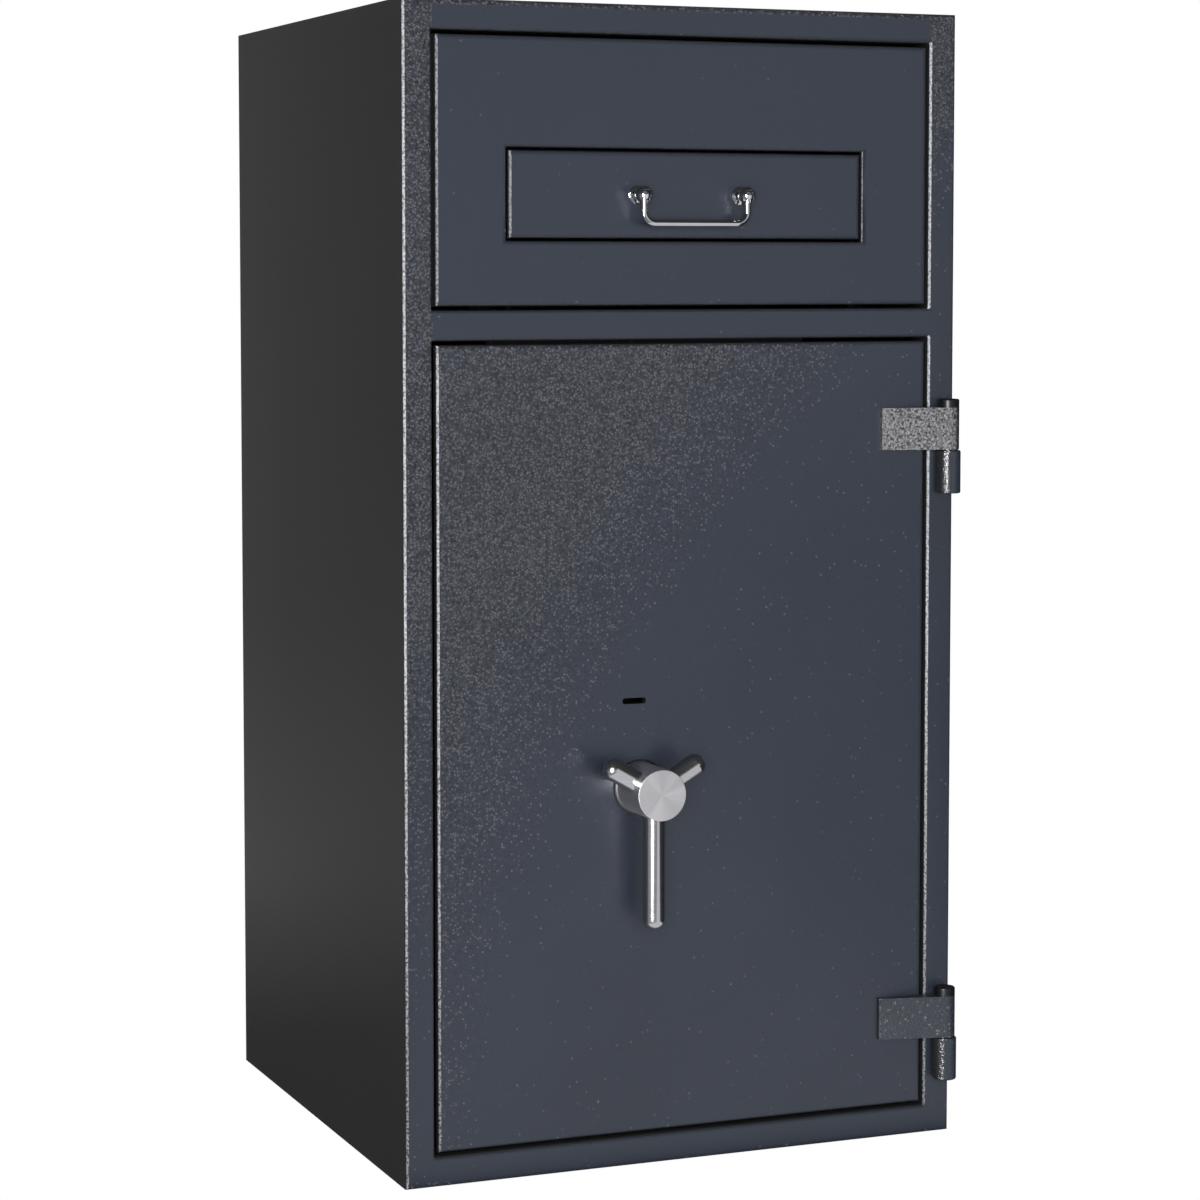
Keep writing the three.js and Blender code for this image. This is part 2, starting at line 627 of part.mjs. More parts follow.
const wireSection = new THREE.Shape().absarc(0, 0, BAIL_WIRE_RADIUS, 0, Math.PI * 2);
const wireSweep = { steps: BAIL_STEPS, curveSegments: BAIL_SECTION_SEGMENTS, extrudePath: new BailPath() };
const wire = new THREE.ExtrudeGeometry(wireSection, wireSweep);
const eyes = [];
const eyeHoles = [];
for (const side of [-1, 1]) {
  const x = (side * PULL_SPACING) / 2;
  eyes.push(rod('x', BAIL_EYE_RADIUS, x - BAIL_WIRE_RADIUS, x + BAIL_WIRE_RADIUS, [0, 0, 0],
    SMALL_ROUND_SIDES));
  const holeEnd = BAIL_WIRE_RADIUS + PASS_THROUGH;
  eyeHoles.push(rod('x', BAIL_PIN_RADIUS + RUNNING_GAP, x - holeEnd, x + holeEnd, [0, 0, 0],
    SMALL_ROUND_SIDES));
}
piece(bail, 'drawer_bail', cut(join(wire, ...eyes), ...eyeHoles), chrome);

// The drop floor is drawn level and turned down by the drop angle
const dropFloor = new THREE.Group();
dropFloor.position.set(0, dropRodY, dropRodZ);
dropFloor.rotation.x = -DROP_ANGLE;
drawer.add(dropFloor);
const floorSide = traySide - TRAY_SHEET - SLIDING_GAP;
const halfFloorSheet = DROP_FLOOR_SHEET / 2;
const floorPlate = slab([-floorSide, floorSide], [0, DROP_FLOOR_LENGTH], [-halfFloorSheet, halfFloorSheet]);
const hingeRod = rod('x', DROP_ROD_RADIUS, -traySide, traySide, [0, 0, 0], SMALL_ROUND_SIDES);
const followerBar = rod('x', FOLLOWER_RADIUS, -webInner + PASS_THROUGH, webInner - PASS_THROUGH,
  [0, FOLLOWER_DISTANCE, 0], SMALL_ROUND_SIDES);
piece(dropFloor, 'drop_floor', join(floorPlate, hingeRod, followerBar), zincPlate);

// Door: plate with rounded edges, pan round the boltwork and inner cover
const door = new THREE.Group();
face.add(door);
const doorPlate = roundedPlate([-doorSide, doorSide], [doorBottom, doorTop], DOOR_SHEET);
const spindleHole = rod('y', SPINDLE_RADIUS + RUNNING_GAP, -PASS_THROUGH,
  panBack + COVER_SHEET + PASS_THROUGH,
  [SPINDLE_X, 0, SPINDLE_Z]);

// The keyhole's cutter, through the door plate and the front of the lock case
function keySlot() {
  const half = (KEY_SLOT_WIDTH - KEY_SLOT_HEIGHT) / 2;
  const outline = new THREE.Shape();
  outline.absarc(KEY_X + half, KEY_Z, KEY_SLOT_HEIGHT / 2, -Math.PI / 2, Math.PI / 2);
  outline.absarc(KEY_X - half, KEY_Z, KEY_SLOT_HEIGHT / 2, Math.PI / 2, Math.PI * 1.5);
  return prism(outline, 'y', -PASS_THROUGH, DOOR_SHEET + LOCK_CASE_SHEET + PASS_THROUGH);
}

piece(door, 'door_plate', cut(doorPlate, spindleHole, keySlot()), paint);

const topBoltX = SPINDLE_X + pitchRadius + RACK_DEDENDUM + RACK_BAR_HEIGHT / 2;
const bottomBoltX = SPINDLE_X - pitchRadius - RACK_DEDENDUM - RACK_BAR_HEIGHT / 2;
const doorMiddle = (doorTop + doorBottom) / 2;
const sideBoltHeights = [doorMiddle - SIDE_BOLT_SPACING, doorMiddle, doorMiddle + SIDE_BOLT_SPACING];
const boltHoleRadius = BOLT_RADIUS + RUNNING_GAP;

const panOuter = slab([-panSide, panSide], [DOOR_SHEET, panBack], [panBottom, panTop]);
const panInner = slab([-panSide + PAN_SHEET, panSide - PAN_SHEET],
  [DOOR_SHEET - PASS_THROUGH, panBack + PASS_THROUGH], [panBottom + PAN_SHEET, panTop - PAN_SHEET]);
const panHoles = sideBoltHeights.map((z) => rod('x', boltHoleRadius, -panSide - PASS_THROUGH,
  -panSide + PAN_SHEET + PASS_THROUGH, [0, BOLT_BEHIND_FRONT, z]));
panHoles.push(rod('z', boltHoleRadius, panTop - PAN_SHEET - PASS_THROUGH, panTop + PASS_THROUGH,
  [topBoltX, BOLT_BEHIND_FRONT, 0]));
panHoles.push(rod('z', boltHoleRadius, panBottom - PASS_THROUGH, panBottom + PAN_SHEET + PASS_THROUGH,
  [bottomBoltX, BOLT_BEHIND_FRONT, 0]));
piece(door, 'door_pan', cut(panOuter, panInner, ...panHoles), paint);

const coverHole = rod('y', BEARING_NECK_RADIUS + RUNNING_GAP, panBack - PASS_THROUGH,
  panBack + COVER_SHEET + PASS_THROUGH, [SPINDLE_X, 0, SPINDLE_Z]);
const coverPlate = slab([-panSide, panSide], [panBack, panBack + COVER_SHEET], [panBottom, panTop]);
piece(door, 'door_cover', cut(coverPlate, coverHole), paint);

// Fixed bar that reaches behind the right stile when the door is shut
const deadBarFront = FRAME_DEPTH + DEAD_BAR_FRONT_GAP;
const deadBar = slab([panSide, openingSide + DEAD_BAR_ENGAGEMENT],
  [deadBarFront, deadBarFront + DEAD_BAR_THICKNESS],
  [panBottom + DEAD_BAR_END_INSET, panTop - DEAD_BAR_END_INSET]);
piece(door, 'dead_bar', deadBar, zincPlate);

// Hinges: a post with its pin on the frame, a strap with its barrel and a cap on the door
const hingeX = halfWidth - HINGE_INSET;

// The strap's outline from above: flat on the door, its face sloping out to wrap the barrel
function strapOutline() {
  const farEnd = new THREE.Vector2(-HINGE_STRAP_REACH, HINGE_STANDOFF - HINGE_STRAP_END_THICKNESS);
  const toAxis = Math.atan2(-farEnd.y, -farEnd.x);
  const swing = Math.asin(HINGE_BARREL_RADIUS / farEnd.length());
  const touchAngle = toAxis - swing - Math.PI / 2;
  const doorEdge = doorSide - EDGE_RADIUS - hingeX;
  const underside = HINGE_STANDOFF - PASS_THROUGH;
  const outline = new THREE.Shape();
  outline.moveTo(-HINGE_STRAP_REACH, HINGE_STANDOFF);
  outline.lineTo(farEnd.x, farEnd.y);
  const backAngle = Math.asin(Math.min(1, underside / HINGE_BARREL_RADIUS));
  outline.absarc(0, 0, HINGE_BARREL_RADIUS, touchAngle, backAngle);
  outline.lineTo(doorEdge, underside);
  outline.lineTo(doorEdge, HINGE_STANDOFF);
  outline.closePath();
  return outline;
}

function hinge(prefix, z) {
  const pinTop = HINGE_POST_HEIGHT + HINGE_PIN_RISE;
  const collarTop = HINGE_POST_HEIGHT + HINGE_COLLAR_RISE;
  const post = turnedUpright([[0, 0], [HINGE_POST_RADIUS, 0], [HINGE_POST_RADIUS, HINGE_POST_HEIGHT],
    [HINGE_COLLAR_RADIUS, HINGE_POST_HEIGHT], [HINGE_COLLAR_RADIUS, collarTop],
    [HINGE_PIN_RADIUS, collarTop], [HINGE_PIN_RADIUS, pinTop], [0, pinTop]], [hingeX, -HINGE_STANDOFF, z]);
  const seat = slab([hingeX - HINGE_POST_RADIUS, hingeX + HINGE_POST_RADIUS], [0, HINGE_POST_RADIUS],
    [z - PASS_THROUGH, z + HINGE_POST_HEIGHT + PASS_THROUGH]);
  piece(cabinet, `${prefix}_hinge_post`, cut(post, seat), paint);

  const barrelZ = z + collarTop + RUNNING_GAP;
  const barrelTop = barrelZ + HINGE_STRAP_HEIGHT;
  const leaf = prism(strapOutline(), 'z', barrelZ, barrelTop, ROUND_SIDES / 2)
    .translate(hingeX, -HINGE_STANDOFF, 0);
  const bore = rod('z', HINGE_PIN_RADIUS + RUNNING_GAP, barrelZ - PASS_THROUGH, barrelTop + PASS_THROUGH,
    [hingeX, -HINGE_STANDOFF, 0]);
  piece(door, `${prefix}_hinge_strap`, cut(leaf, bore), paint);

  const spigot = barrelTop - z - pinTop - PASS_THROUGH;
  const crown = HINGE_CAP_HEIGHT - HINGE_CAP_CHAMFER;
  piece(door, `${prefix}_hinge_cap`, turnedUpright([[0, -spigot], [HINGE_PIN_RADIUS, -spigot],
    [HINGE_PIN_RADIUS, 0], [HINGE_BARREL_RADIUS, 0], [HINGE_BARREL_RADIUS, crown],
    [HINGE_BARREL_RADIUS - HINGE_CAP_CHAMFER, HINGE_CAP_HEIGHT], [0, HINGE_CAP_HEIGHT]],
  [hingeX, -HINGE_STANDOFF, barrelTop]), blackPlastic);
}

hinge('upper', doorTop - UPPER_HINGE_BELOW_DOOR_TOP);
hinge('lower', doorBottom + LOWER_HINGE_ABOVE_DOOR_BOTTOM);

// Handle: three spokes seated in a hub, on the spindle that carries the pinion
const handle = new THREE.Group();
handle.position.set(SPINDLE_X, 0, SPINDLE_Z);
door.add(handle);

const rose = turned([[SPINDLE_RADIUS + RUNNING_GAP, 0], [SPINDLE_RADIUS + RUNNING_GAP, -ROSE_THICKNESS],
  [ROSE_RADIUS - ROSE_THICKNESS / 2, -ROSE_THICKNESS], [ROSE_RADIUS, -ROSE_THICKNESS / 2], [ROSE_RADIUS, 0],
  [SPINDLE_RADIUS + RUNNING_GAP, 0]]);
piece(handle, 'handle_rose', rose, brushedSteel);

const hubBack = -ROSE_THICKNESS - RUNNING_GAP;
const spindleEnd = -SPOKE_STANDOFF + PASS_THROUGH * 2;
const hubBody = turned([[0, -HUB_FACE_STANDOFF], [HUB_RADIUS - HUB_CHAMFER, -HUB_FACE_STANDOFF],
  [HUB_RADIUS, -HUB_FACE_STANDOFF + HUB_CHAMFER], [HUB_RADIUS, hubBack],
  [SPINDLE_RADIUS + RUNNING_GAP, hubBack], [SPINDLE_RADIUS + RUNNING_GAP, spindleEnd - RUNNING_GAP],
  [0, spindleEnd - RUNNING_GAP]]);

// A spoke drawn along +X and turned about the spindle
function spokeBar(reach) {
  const rounding = SPOKE_END_ROUNDING;
  const profile = [[0, SPOKE_SEAT_RADIUS + RUNNING_GAP], [SPOKE_RADIUS, SPOKE_SEAT_RADIUS + RUNNING_GAP]];
  for (let i = 0; i <= SPOKE_END_STEPS; i += 1) {
    const angle = (i / SPOKE_END_STEPS) * (Math.PI / 2);
    profile.push([SPOKE_RADIUS - rounding * (1 - Math.cos(angle)),
      reach - rounding * (1 - Math.sin(angle))]);
  }
  profile.push([0, reach]);
  return turned(profile).rotateZ(-Math.PI / 2);
}

const spokes = [
  { name: 'long_spoke', angle: -Math.PI / 2, reach: LONG_SPOKE_REACH },
  { name: 'left_short_spoke', angle: Math.PI - SHORT_SPOKE_ANGLE, reach: SHORT_SPOKE_REACH },
  { name: 'right_short_spoke', angle: SHORT_SPOKE_ANGLE, reach: SHORT_SPOKE_REACH },
];
const hubSockets = spokes.map(({ angle }) => rod('x', SPOKE_RADIUS + RUNNING_GAP, SPOKE_SEAT_RADIUS,
  HUB_RADIUS + PASS_THROUGH, [0, 0, 0]).rotateY(-angle).translate(0, -SPOKE_STANDOFF, 0));
piece(handle, 'handle_hub', cut(hubBody, ...hubSockets), brushedSteel);
for (const { name, angle, reach } of spokes) {
  const mesh = piece(handle, name, spokeBar(reach), brushedSteel);
  mesh.position.y = -SPOKE_STANDOFF;
  mesh.rotation.y = -angle;
}

const spindleBack = panBack + COVER_SHEET + BEARING_NECK_LENGTH / 2;
piece(handle, 'spindle', rod('y', SPINDLE_RADIUS, spindleEnd, spindleBack, [0, 0, 0]), turnedSteel);

const bearingBore = SPINDLE_RADIUS + RUNNING_GAP;
piece(handle, 'spindle_bearing', turned([
  [bearingBore, panBack - BEARING_FLANGE], [BEARING_RADIUS, panBack - BEARING_FLANGE],
  [BEARING_RADIUS, panBack],
  [BEARING_NECK_RADIUS, panBack], [BEARING_NECK_RADIUS, panBack + BEARING_NECK_LENGTH],
  [bearingBore, panBack + BEARING_NECK_LENGTH], [bearingBore, panBack - BEARING_FLANGE]]), bronze);

// Pinion: involute flanks thinned by the relief, with a space facing each rack at rest
function pinionOutline() {
  const baseRadius = pitchRadius * Math.cos(PRESSURE_ANGLE);
  const tipRadius = pitchRadius + GEAR_MODULE;
  const rootRadius = pitchRadius - PINION_DEDENDUM;
  const involute = (radius) => {
    const roll = Math.sqrt(Math.max(0, (radius / baseRadius) ** 2 - 1));
    return roll - Math.atan(roll);
  };
  const halfTooth = Math.PI / (2 * PINION_TEETH) - FLANK_RELIEF / pitchRadius;
  const flank = [];
  for (let i = 0; i <= FLANK_STEPS; i += 1) {
    const radius = baseRadius + ((tipRadius - baseRadius) * i) / FLANK_STEPS;
    flank.push({ radius, half: halfTooth + involute(pitchRadius) - involute(radius) });
  }
  const sides = [{ radius: rootRadius, half: flank[0].half }, ...flank];
  const points = [];
  for (let tooth = 0; tooth < PINION_TEETH; tooth += 1) {
    const centre = ((tooth + 0.5) * 2 * Math.PI) / PINION_TEETH;
    const at = (radius, angle) => [radius * Math.cos(angle), radius * Math.sin(angle)];
    for (const { radius, half } of sides) points.push(at(radius, centre - half));
    for (const { radius, half } of [...sides].reverse()) points.push(at(radius, centre + half));
  }
  return outlineOf(points);
}

const pinionFront = frontRackStart - PINION_OVERHANG;
const pinionBack = rearRackEnd + PINION_OVERHANG;
const pinionTeeth = prism(pinionOutline(), 'y', pinionFront, pinionBack);
const pinionBoss = rod('y', PINION_BOSS_RADIUS, DOOR_SHEET + RUNNING_GAP, pinionFront + PASS_THROUGH,
  [0, 0, 0]);
const pinionBore = rod('y', SPINDLE_RADIUS + RUNNING_GAP, 0, pinionBack + PASS_THROUGH, [0, 0, 0]);
piece(handle, 'pinion', cut(join(pinionTeeth, pinionBoss), pinionBore), turnedSteel);

// A rack drawn along +X with its teeth down and its pitch line on the axis, from one end to the other.
// A tooth stands at zero, and the teeth run on behind it by the travel.
function rackOutline(from, to) {
  const halfPitchWidth = gearPitch / 4 - FLANK_RELIEF;
  const slope = Math.tan(PRESSURE_ANGLE);
  const points = [[from, RACK_DEDENDUM + RACK_BAR_HEIGHT], [from, RACK_DEDENDUM]];
  for (let tooth = -RACK_SPARE_TEETH; tooth <= THROW_TEETH + RACK_SPARE_TEETH; tooth += 1) {
    const centre = tooth * gearPitch;
    const root = halfPitchWidth + RACK_DEDENDUM * slope;
    const tip = halfPitchWidth - RACK_ADDENDUM * slope;
    points.push([centre - root, RACK_DEDENDUM], [centre - tip, -RACK_ADDENDUM],
      [centre + tip, -RACK_ADDENDUM], [centre + root, RACK_DEDENDUM]);
  }
  points.push([to, RACK_DEDENDUM], [to, RACK_DEDENDUM + RACK_BAR_HEIGHT]);
  return outlineOf(points);
}

// Side bolts: the rack bar lies over the pinion and laps onto the bar that carries three bolts
const rackRun = (THROW_TEETH + RACK_SPARE_TEETH + 1) * gearPitch;
const boltTip = -doorSide + BOLT_REST_INSET;
const boltTail = boltTip + BOLT_LENGTH;
const sideRackZ = SPINDLE_Z + pitchRadius;
const sideRack = prism(rackOutline(boltTail - SPINDLE_X, rackRun), 'y', frontRackStart, frontRackEnd);
piece(door, 'side_rack_bar', sideRack.translate(SPINDLE_X, 0, sideRackZ), turnedSteel);

const throwBar = slab([boltTail, boltTail + THROW_BAR_WIDTH],
  [frontRackEnd, frontRackEnd + THROW_BAR_THICKNESS],
  [sideBoltHeights[0] - THROW_BAR_OVERHANG, sideBoltHeights[2] + THROW_BAR_OVERHANG]);
piece(door, 'throw_bar', throwBar, zincPlate);

// A plain bolt with a chamfered nose, its nose first along the upright or level axis
function lockingBolt(name, turn, [x, z]) {
  const profile = [[0, 0], [BOLT_RADIUS, 0], [BOLT_RADIUS, BOLT_LENGTH - BOLT_CHAMFER],
    [BOLT_RADIUS - BOLT_CHAMFER, BOLT_LENGTH], [0, BOLT_LENGTH]];
  const mesh = piece(door, name, turned(profile), turnedSteel);
  mesh.rotation.set(...turn);
  mesh.position.set(x, BOLT_BEHIND_FRONT, z);
}

const NOSE_LEFT = [0, 0, Math.PI / 2];
const NOSE_UP = [Math.PI / 2, 0, 0];
const NOSE_DOWN = [-Math.PI / 2, 0, 0];
lockingBolt('lower_side_bolt', NOSE_LEFT, [boltTail, sideBoltHeights[0]]);
lockingBolt('middle_side_bolt', NOSE_LEFT, [boltTail, sideBoltHeights[1]]);
lockingBolt('upper_side_bolt', NOSE_LEFT, [boltTail, sideBoltHeights[2]]);

// Top bolt: an upright rack rod on the pinion's right, with the lug that the key lock blocks
const topBoltTail = doorTop - BOLT_REST_INSET - BOLT_LENGTH;
const topRodLeft = SPINDLE_X + pitchRadius + RACK_DEDENDUM;
const topRodX = [topRodLeft, topRodLeft + RACK_BAR_HEIGHT];
const lockBoltZ = KEY_Z + LOCK_BOLT_ABOVE_KEY;
const lockBoltFront = DOOR_SHEET + LOCK_CASE_SHEET + SLIDING_GAP;
const lugTop = lockBoltZ - LOCK_BOLT_HEIGHT / 2 - LOCK_END_GAP;
const topRod = prism(rackOutline(SPINDLE_Z - topBoltTail, rackRun), 'y', rearRackStart, rearRackEnd)
  .rotateY(Math.PI / 2).translate(SPINDLE_X + pitchRadius, 0, SPINDLE_Z);
const lockLug = slab(topRodX, [lockBoltFront, rearRackStart + PASS_THROUGH],
  [lugTop - LOCK_LUG_HEIGHT, lugTop]);
piece(door, 'top_rack_rod', join(topRod, lockLug), turnedSteel);
lockingBolt('top_bolt', NOSE_UP, [topBoltX, topBoltTail]);

// Bottom bolt: the same on the pinion's left
const bottomBoltTail = doorBottom + BOLT_REST_INSET + BOLT_LENGTH;
const bottomRod = prism(rackOutline(bottomBoltTail - SPINDLE_Z, rackRun), 'y', rearRackStart, rearRackEnd)
  .rotateY(-Math.PI / 2).translate(SPINDLE_X - pitchRadius, 0, SPINDLE_Z);
piece(door, 'bottom_rack_rod', bottomRod, turnedSteel);
lockingBolt('bottom_bolt', NOSE_DOWN, [bottomBoltX, bottomBoltTail]);

// Guides: blocks on the door plate with a window that the bar slides in
function guide(name, [x0, x1], [z0, z1], [y0, y1], alongX) {
  const back = y1 + SLIDING_GAP + GUIDE_WALL;
  const across = GUIDE_WALL + SLIDING_GAP;
  const windowY = [y0 - SLIDING_GAP, y1 + SLIDING_GAP];
  if (alongX) {
    const block = slab([x0, x1], [DOOR_SHEET, back], [z0 - across, z1 + across]);
    const opening = slab([x0 - PASS_THROUGH, x1 + PASS_THROUGH], windowY,
      [z0 - SLIDING_GAP, z1 + SLIDING_GAP]);
    piece(door, name, cut(block, opening), zincPlate);
    return;
  }
  const block = slab([x0 - across, x1 + across], [DOOR_SHEET, back], [z0, z1]);
  const opening = slab([x0 - SLIDING_GAP, x1 + SLIDING_GAP], windowY,
    [z0 - PASS_THROUGH, z1 + PASS_THROUGH]);
  piece(door, name, cut(block, opening), zincPlate);
}

const around = (centre) => [centre - GUIDE_LENGTH / 2, centre + GUIDE_LENGTH / 2];
const barAround = (centre) => [centre - RACK_BAR_HEIGHT / 2, centre + RACK_BAR_HEIGHT / 2];
const sideBarZ = sideRackZ + RACK_DEDENDUM + RACK_BAR_HEIGHT / 2;
const sideGuideLeft = boltTail + THROW_BAR_WIDTH + SIDE_GUIDE_FROM_THROW_BAR;
guide('side_rack_guide', [sideGuideLeft, sideGuideLeft + GUIDE_LENGTH], barAround(sideBarZ),
  [frontRackStart, frontRackEnd], true);
guide('top_rod_guide', topRodX, around(SPINDLE_Z + ROD_GUIDE_FROM_SPINDLE),
  [rearRackStart, rearRackEnd], false);
guide('bottom_rod_guide', barAround(bottomBoltX), around(SPINDLE_Z - ROD_GUIDE_FROM_SPINDLE),
  [rearRackStart, rearRackEnd], false);

// Key lock: a case round the keyhole and a bolt that slides sideways into the path of the lug
const caseRight = topRodLeft - LOCK_CASE_SIDE_GAP;
const caseX = [caseRight - LOCK_CASE_WIDTH, caseRight];
const caseY = [DOOR_SHEET, DOOR_SHEET + LOCK_CASE_DEPTH];
const caseZ = [KEY_Z - LOCK_CASE_BELOW_KEY, KEY_Z + LOCK_CASE_ABOVE_KEY];
const inset = ([low, high], by) => [low + by, high - by];
const caseRoom = slab(inset(caseX, LOCK_CASE_SHEET), inset(caseY, LOCK_CASE_SHEET),
  inset(caseZ, LOCK_CASE_SHEET));
const lockBoltY = [lockBoltFront, lockBoltFront + LOCK_BOLT_THICKNESS];
const lockBoltSpan = [lockBoltZ - LOCK_BOLT_HEIGHT / 2, lockBoltZ + LOCK_BOLT_HEIGHT / 2];
const boltMouth = slab([caseRight - LOCK_CASE_SHEET - PASS_THROUGH, caseRight + PASS_THROUGH],
  inset(lockBoltY, -SLIDING_GAP), inset(lockBoltSpan, -SLIDING_GAP));
piece(door, 'lock_case', cut(slab(caseX, caseY, caseZ), caseRoom, boltMouth, keySlot()), zincPlate);

const lockBoltTip = topRodLeft - LOCK_TIP_GAP;
piece(door, 'lock_bolt',
  slab([lockBoltTip - LOCK_BOLT_LENGTH, lockBoltTip], lockBoltY, lockBoltSpan), bronze);

export default safe;
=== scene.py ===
import math

import bmesh
import bpy
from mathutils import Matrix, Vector


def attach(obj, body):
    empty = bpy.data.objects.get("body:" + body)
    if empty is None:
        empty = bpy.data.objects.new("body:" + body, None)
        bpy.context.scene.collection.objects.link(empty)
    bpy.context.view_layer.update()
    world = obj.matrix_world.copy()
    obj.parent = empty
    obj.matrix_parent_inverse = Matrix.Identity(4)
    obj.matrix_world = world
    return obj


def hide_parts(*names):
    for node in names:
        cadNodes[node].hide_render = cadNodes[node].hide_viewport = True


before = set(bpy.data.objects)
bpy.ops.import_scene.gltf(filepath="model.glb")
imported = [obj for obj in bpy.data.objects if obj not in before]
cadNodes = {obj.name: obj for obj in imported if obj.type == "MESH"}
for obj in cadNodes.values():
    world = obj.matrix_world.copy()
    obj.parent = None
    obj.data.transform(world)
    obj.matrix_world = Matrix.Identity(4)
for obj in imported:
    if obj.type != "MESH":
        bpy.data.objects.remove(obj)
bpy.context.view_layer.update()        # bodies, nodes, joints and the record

scene = bpy.context.scene
scene.view_settings.view_transform = "Standard"
print("safe loaded,", len(cadNodes), "parts")


# places and sizes of pieces are in millimetres, with y counted back from the front of the frame;
# the camera, the lamps and the finishes are in metres
def mm(x, y, z):
    return Vector((x, y - 245.0, z)) / 1000.0


def letGo():
    if bpy.context.mode != "OBJECT":
        bpy.ops.object.mode_set(mode="OBJECT")
    bpy.ops.object.select_all(action="DESELECT")


def takeUp(piece):
    letGo()
    piece.select_set(True)
    bpy.context.view_layer.objects.active = piece


def openForEditing(piece):
    takeUp(piece)
    bpy.ops.object.mode_set(mode="EDIT")
    bpy.ops.mesh.select_mode(type="FACE")
    bpy.ops.mesh.select_all(action="DESELECT")


def pick(piece, kind, test):
    shape = bmesh.from_edit_mesh(piece.data)
    for item in getattr(shape, kind):
        item.select_set(test(item))
    bmesh.update_edit_mesh(piece.data)


def middle(item):
    total = Vector((0, 0, 0))
    for corner in item.verts:
        total += corner.co
    return total / len(item.verts)


# camera where the photographer stood, left of the safe
photographer = {"place": (-1.1211, -2.7949, 0.7773), "tiltDown": 0.0691, "turnRight": 0.3870,
                "lens": 97.21, "shift": -0.09}
letGo()
bpy.ops.object.camera_add(location=photographer["place"], rotation=(
    math.pi / 2 - photographer["tiltDown"], 0, -photographer["turnRight"]))
camera = bpy.context.object
camera.name = "camera"
camera.data.lens = photographer["lens"]
camera.data.sensor_width = 36
camera.data.shift_y = photographer["shift"]
scene.camera = camera

# soft studio lamps: place, what each points at, size and power
# leftBox is only mirrored and lights nothing else, and rearCard gives the left wall its sheen
lamps = {
    "softFill": {"place": (-1.0, -3.4, 0.85), "aim": (0, -0.245, 0.5), "size": (2.6, 1.6), "power": 137},
    "leftBox": {"place": (-1.45, -2.05, 0.63), "aim": (0, -0.245, 0.55), "size": (0.42, 1.24),
                "power": 170},
    "rearCard": {"place": (-0.25, 1.0, 0.6), "aim": (-0.3, 0, 0.6), "size": (0.55, 1.5), "power": 0.33},
    "leftFill": {"place": (-2.4, 1.3, 0.9), "aim": (-0.25, 0, 0.5), "size": (1.6, 1.6), "power": 29},
    "overhead": {"place": (0.1, -0.4, 3.0), "aim": (0, 0, 0.6), "size": (1.6, 1.2), "power": 24},
    "rearFill": {"place": (2.4, 2.2, 1.2), "aim": (0.1, 0.1, 0.5), "size": (1.8, 1.6), "power": 70},
}
for lampName, lamp in lamps.items():
    letGo()
    bpy.ops.object.light_add(type="AREA", location=lamp["place"])
    light = bpy.context.object
    light.name = lampName
    light.data.shape = "RECTANGLE"
    light.data.size, light.data.size_y = lamp["size"]
    light.data.energy = lamp["power"]
    light.visible_glossy = lampName in ("leftBox", "rearCard")
    light.visible_diffuse = lampName != "leftBox"
    light.visible_camera = False
    outward = Vector(lamp["aim"]) - Vector(lamp["place"])
    light.rotation_euler = outward.to_track_quat("-Z", "Y").to_euler()


def addNode(tree, kind, sockets=None, **settings):
    node = tree.nodes.new(kind)
    for setting, value in settings.items():
        setattr(node, setting, value)
    for socket, value in (sockets or {}).items():
        if isinstance(value, bpy.types.NodeSocket):
            tree.links.new(value, node.inputs[socket])
        else:
            node.inputs[socket].default_value = value
    return node


def newFinish(name, sockets):
    finish = bpy.data.materials.new(name)
    finish.use_nodes = True
    shader = finish.node_tree.nodes["Principled BSDF"]
    for socket, value in sockets.items():
        shader.inputs[socket].default_value = value
    return finish, finish.node_tree, shader


def noise(tree, place, scale, detail=2.0, roughness=0.5):
    return addNode(tree, "ShaderNodeTexNoise", {"Vector": place, "Scale": scale, "Detail": detail,
                                                "Roughness": roughness})


def spread(tree, value, low, high, toLow, toHigh):
    return addNode(tree, "ShaderNodeMapRange", {"Value": value, "From Min": low, "From Max": high,
                                                "To Min": toLow, "To Max": toHigh}).outputs["Result"]


def blendColour(tree, factor, first, second, how="MIX"):
    return addNode(tree, "ShaderNodeMix", {"Factor": factor, "A": first, "B": second},
                   data_type="RGBA", blend_type=how).outputs["Result"]


def reckon(tree, operation, *values):
    return addNode(tree, "ShaderNodeMath", dict(enumerate(values)), operation=operation).outputs["Value"]


def greyOf(tree, level):
    return addNode(tree, "ShaderNodeCombineColor",
                   {"Red": level, "Green": level, "Blue": level}).outputs["Color"]


def tinted(tree, base, tint):
    return blendColour(tree, 1.0, base, tint, "MULTIPLY")


# distance is how far the skin stands up, in metres, where the height is one
def roughen(tree, shader, distance, height):
    skin = addNode(tree, "ShaderNodeBump", {"Strength": 1.0, "Distance": distance, "Height": height})
    tree.links.new(skin.outputs["Normal"], shader.inputs["Normal"])


# one where a ray was mirrored by something, or seen through it
def mirroredShare(tree, rays):
    return reckon(tree, "MAXIMUM", rays.outputs["Is Glossy Ray"], rays.outputs["Is Transmission Ray"])


# white all round for the camera; shiny parts mirror a dim room with a pale wall at the front right
room = {"white": (1, 1, 1, 1), "ambient": (0.09, 0.09, 0.09, 1), "ceiling": (0.05, 0.05, 0.05, 1)}
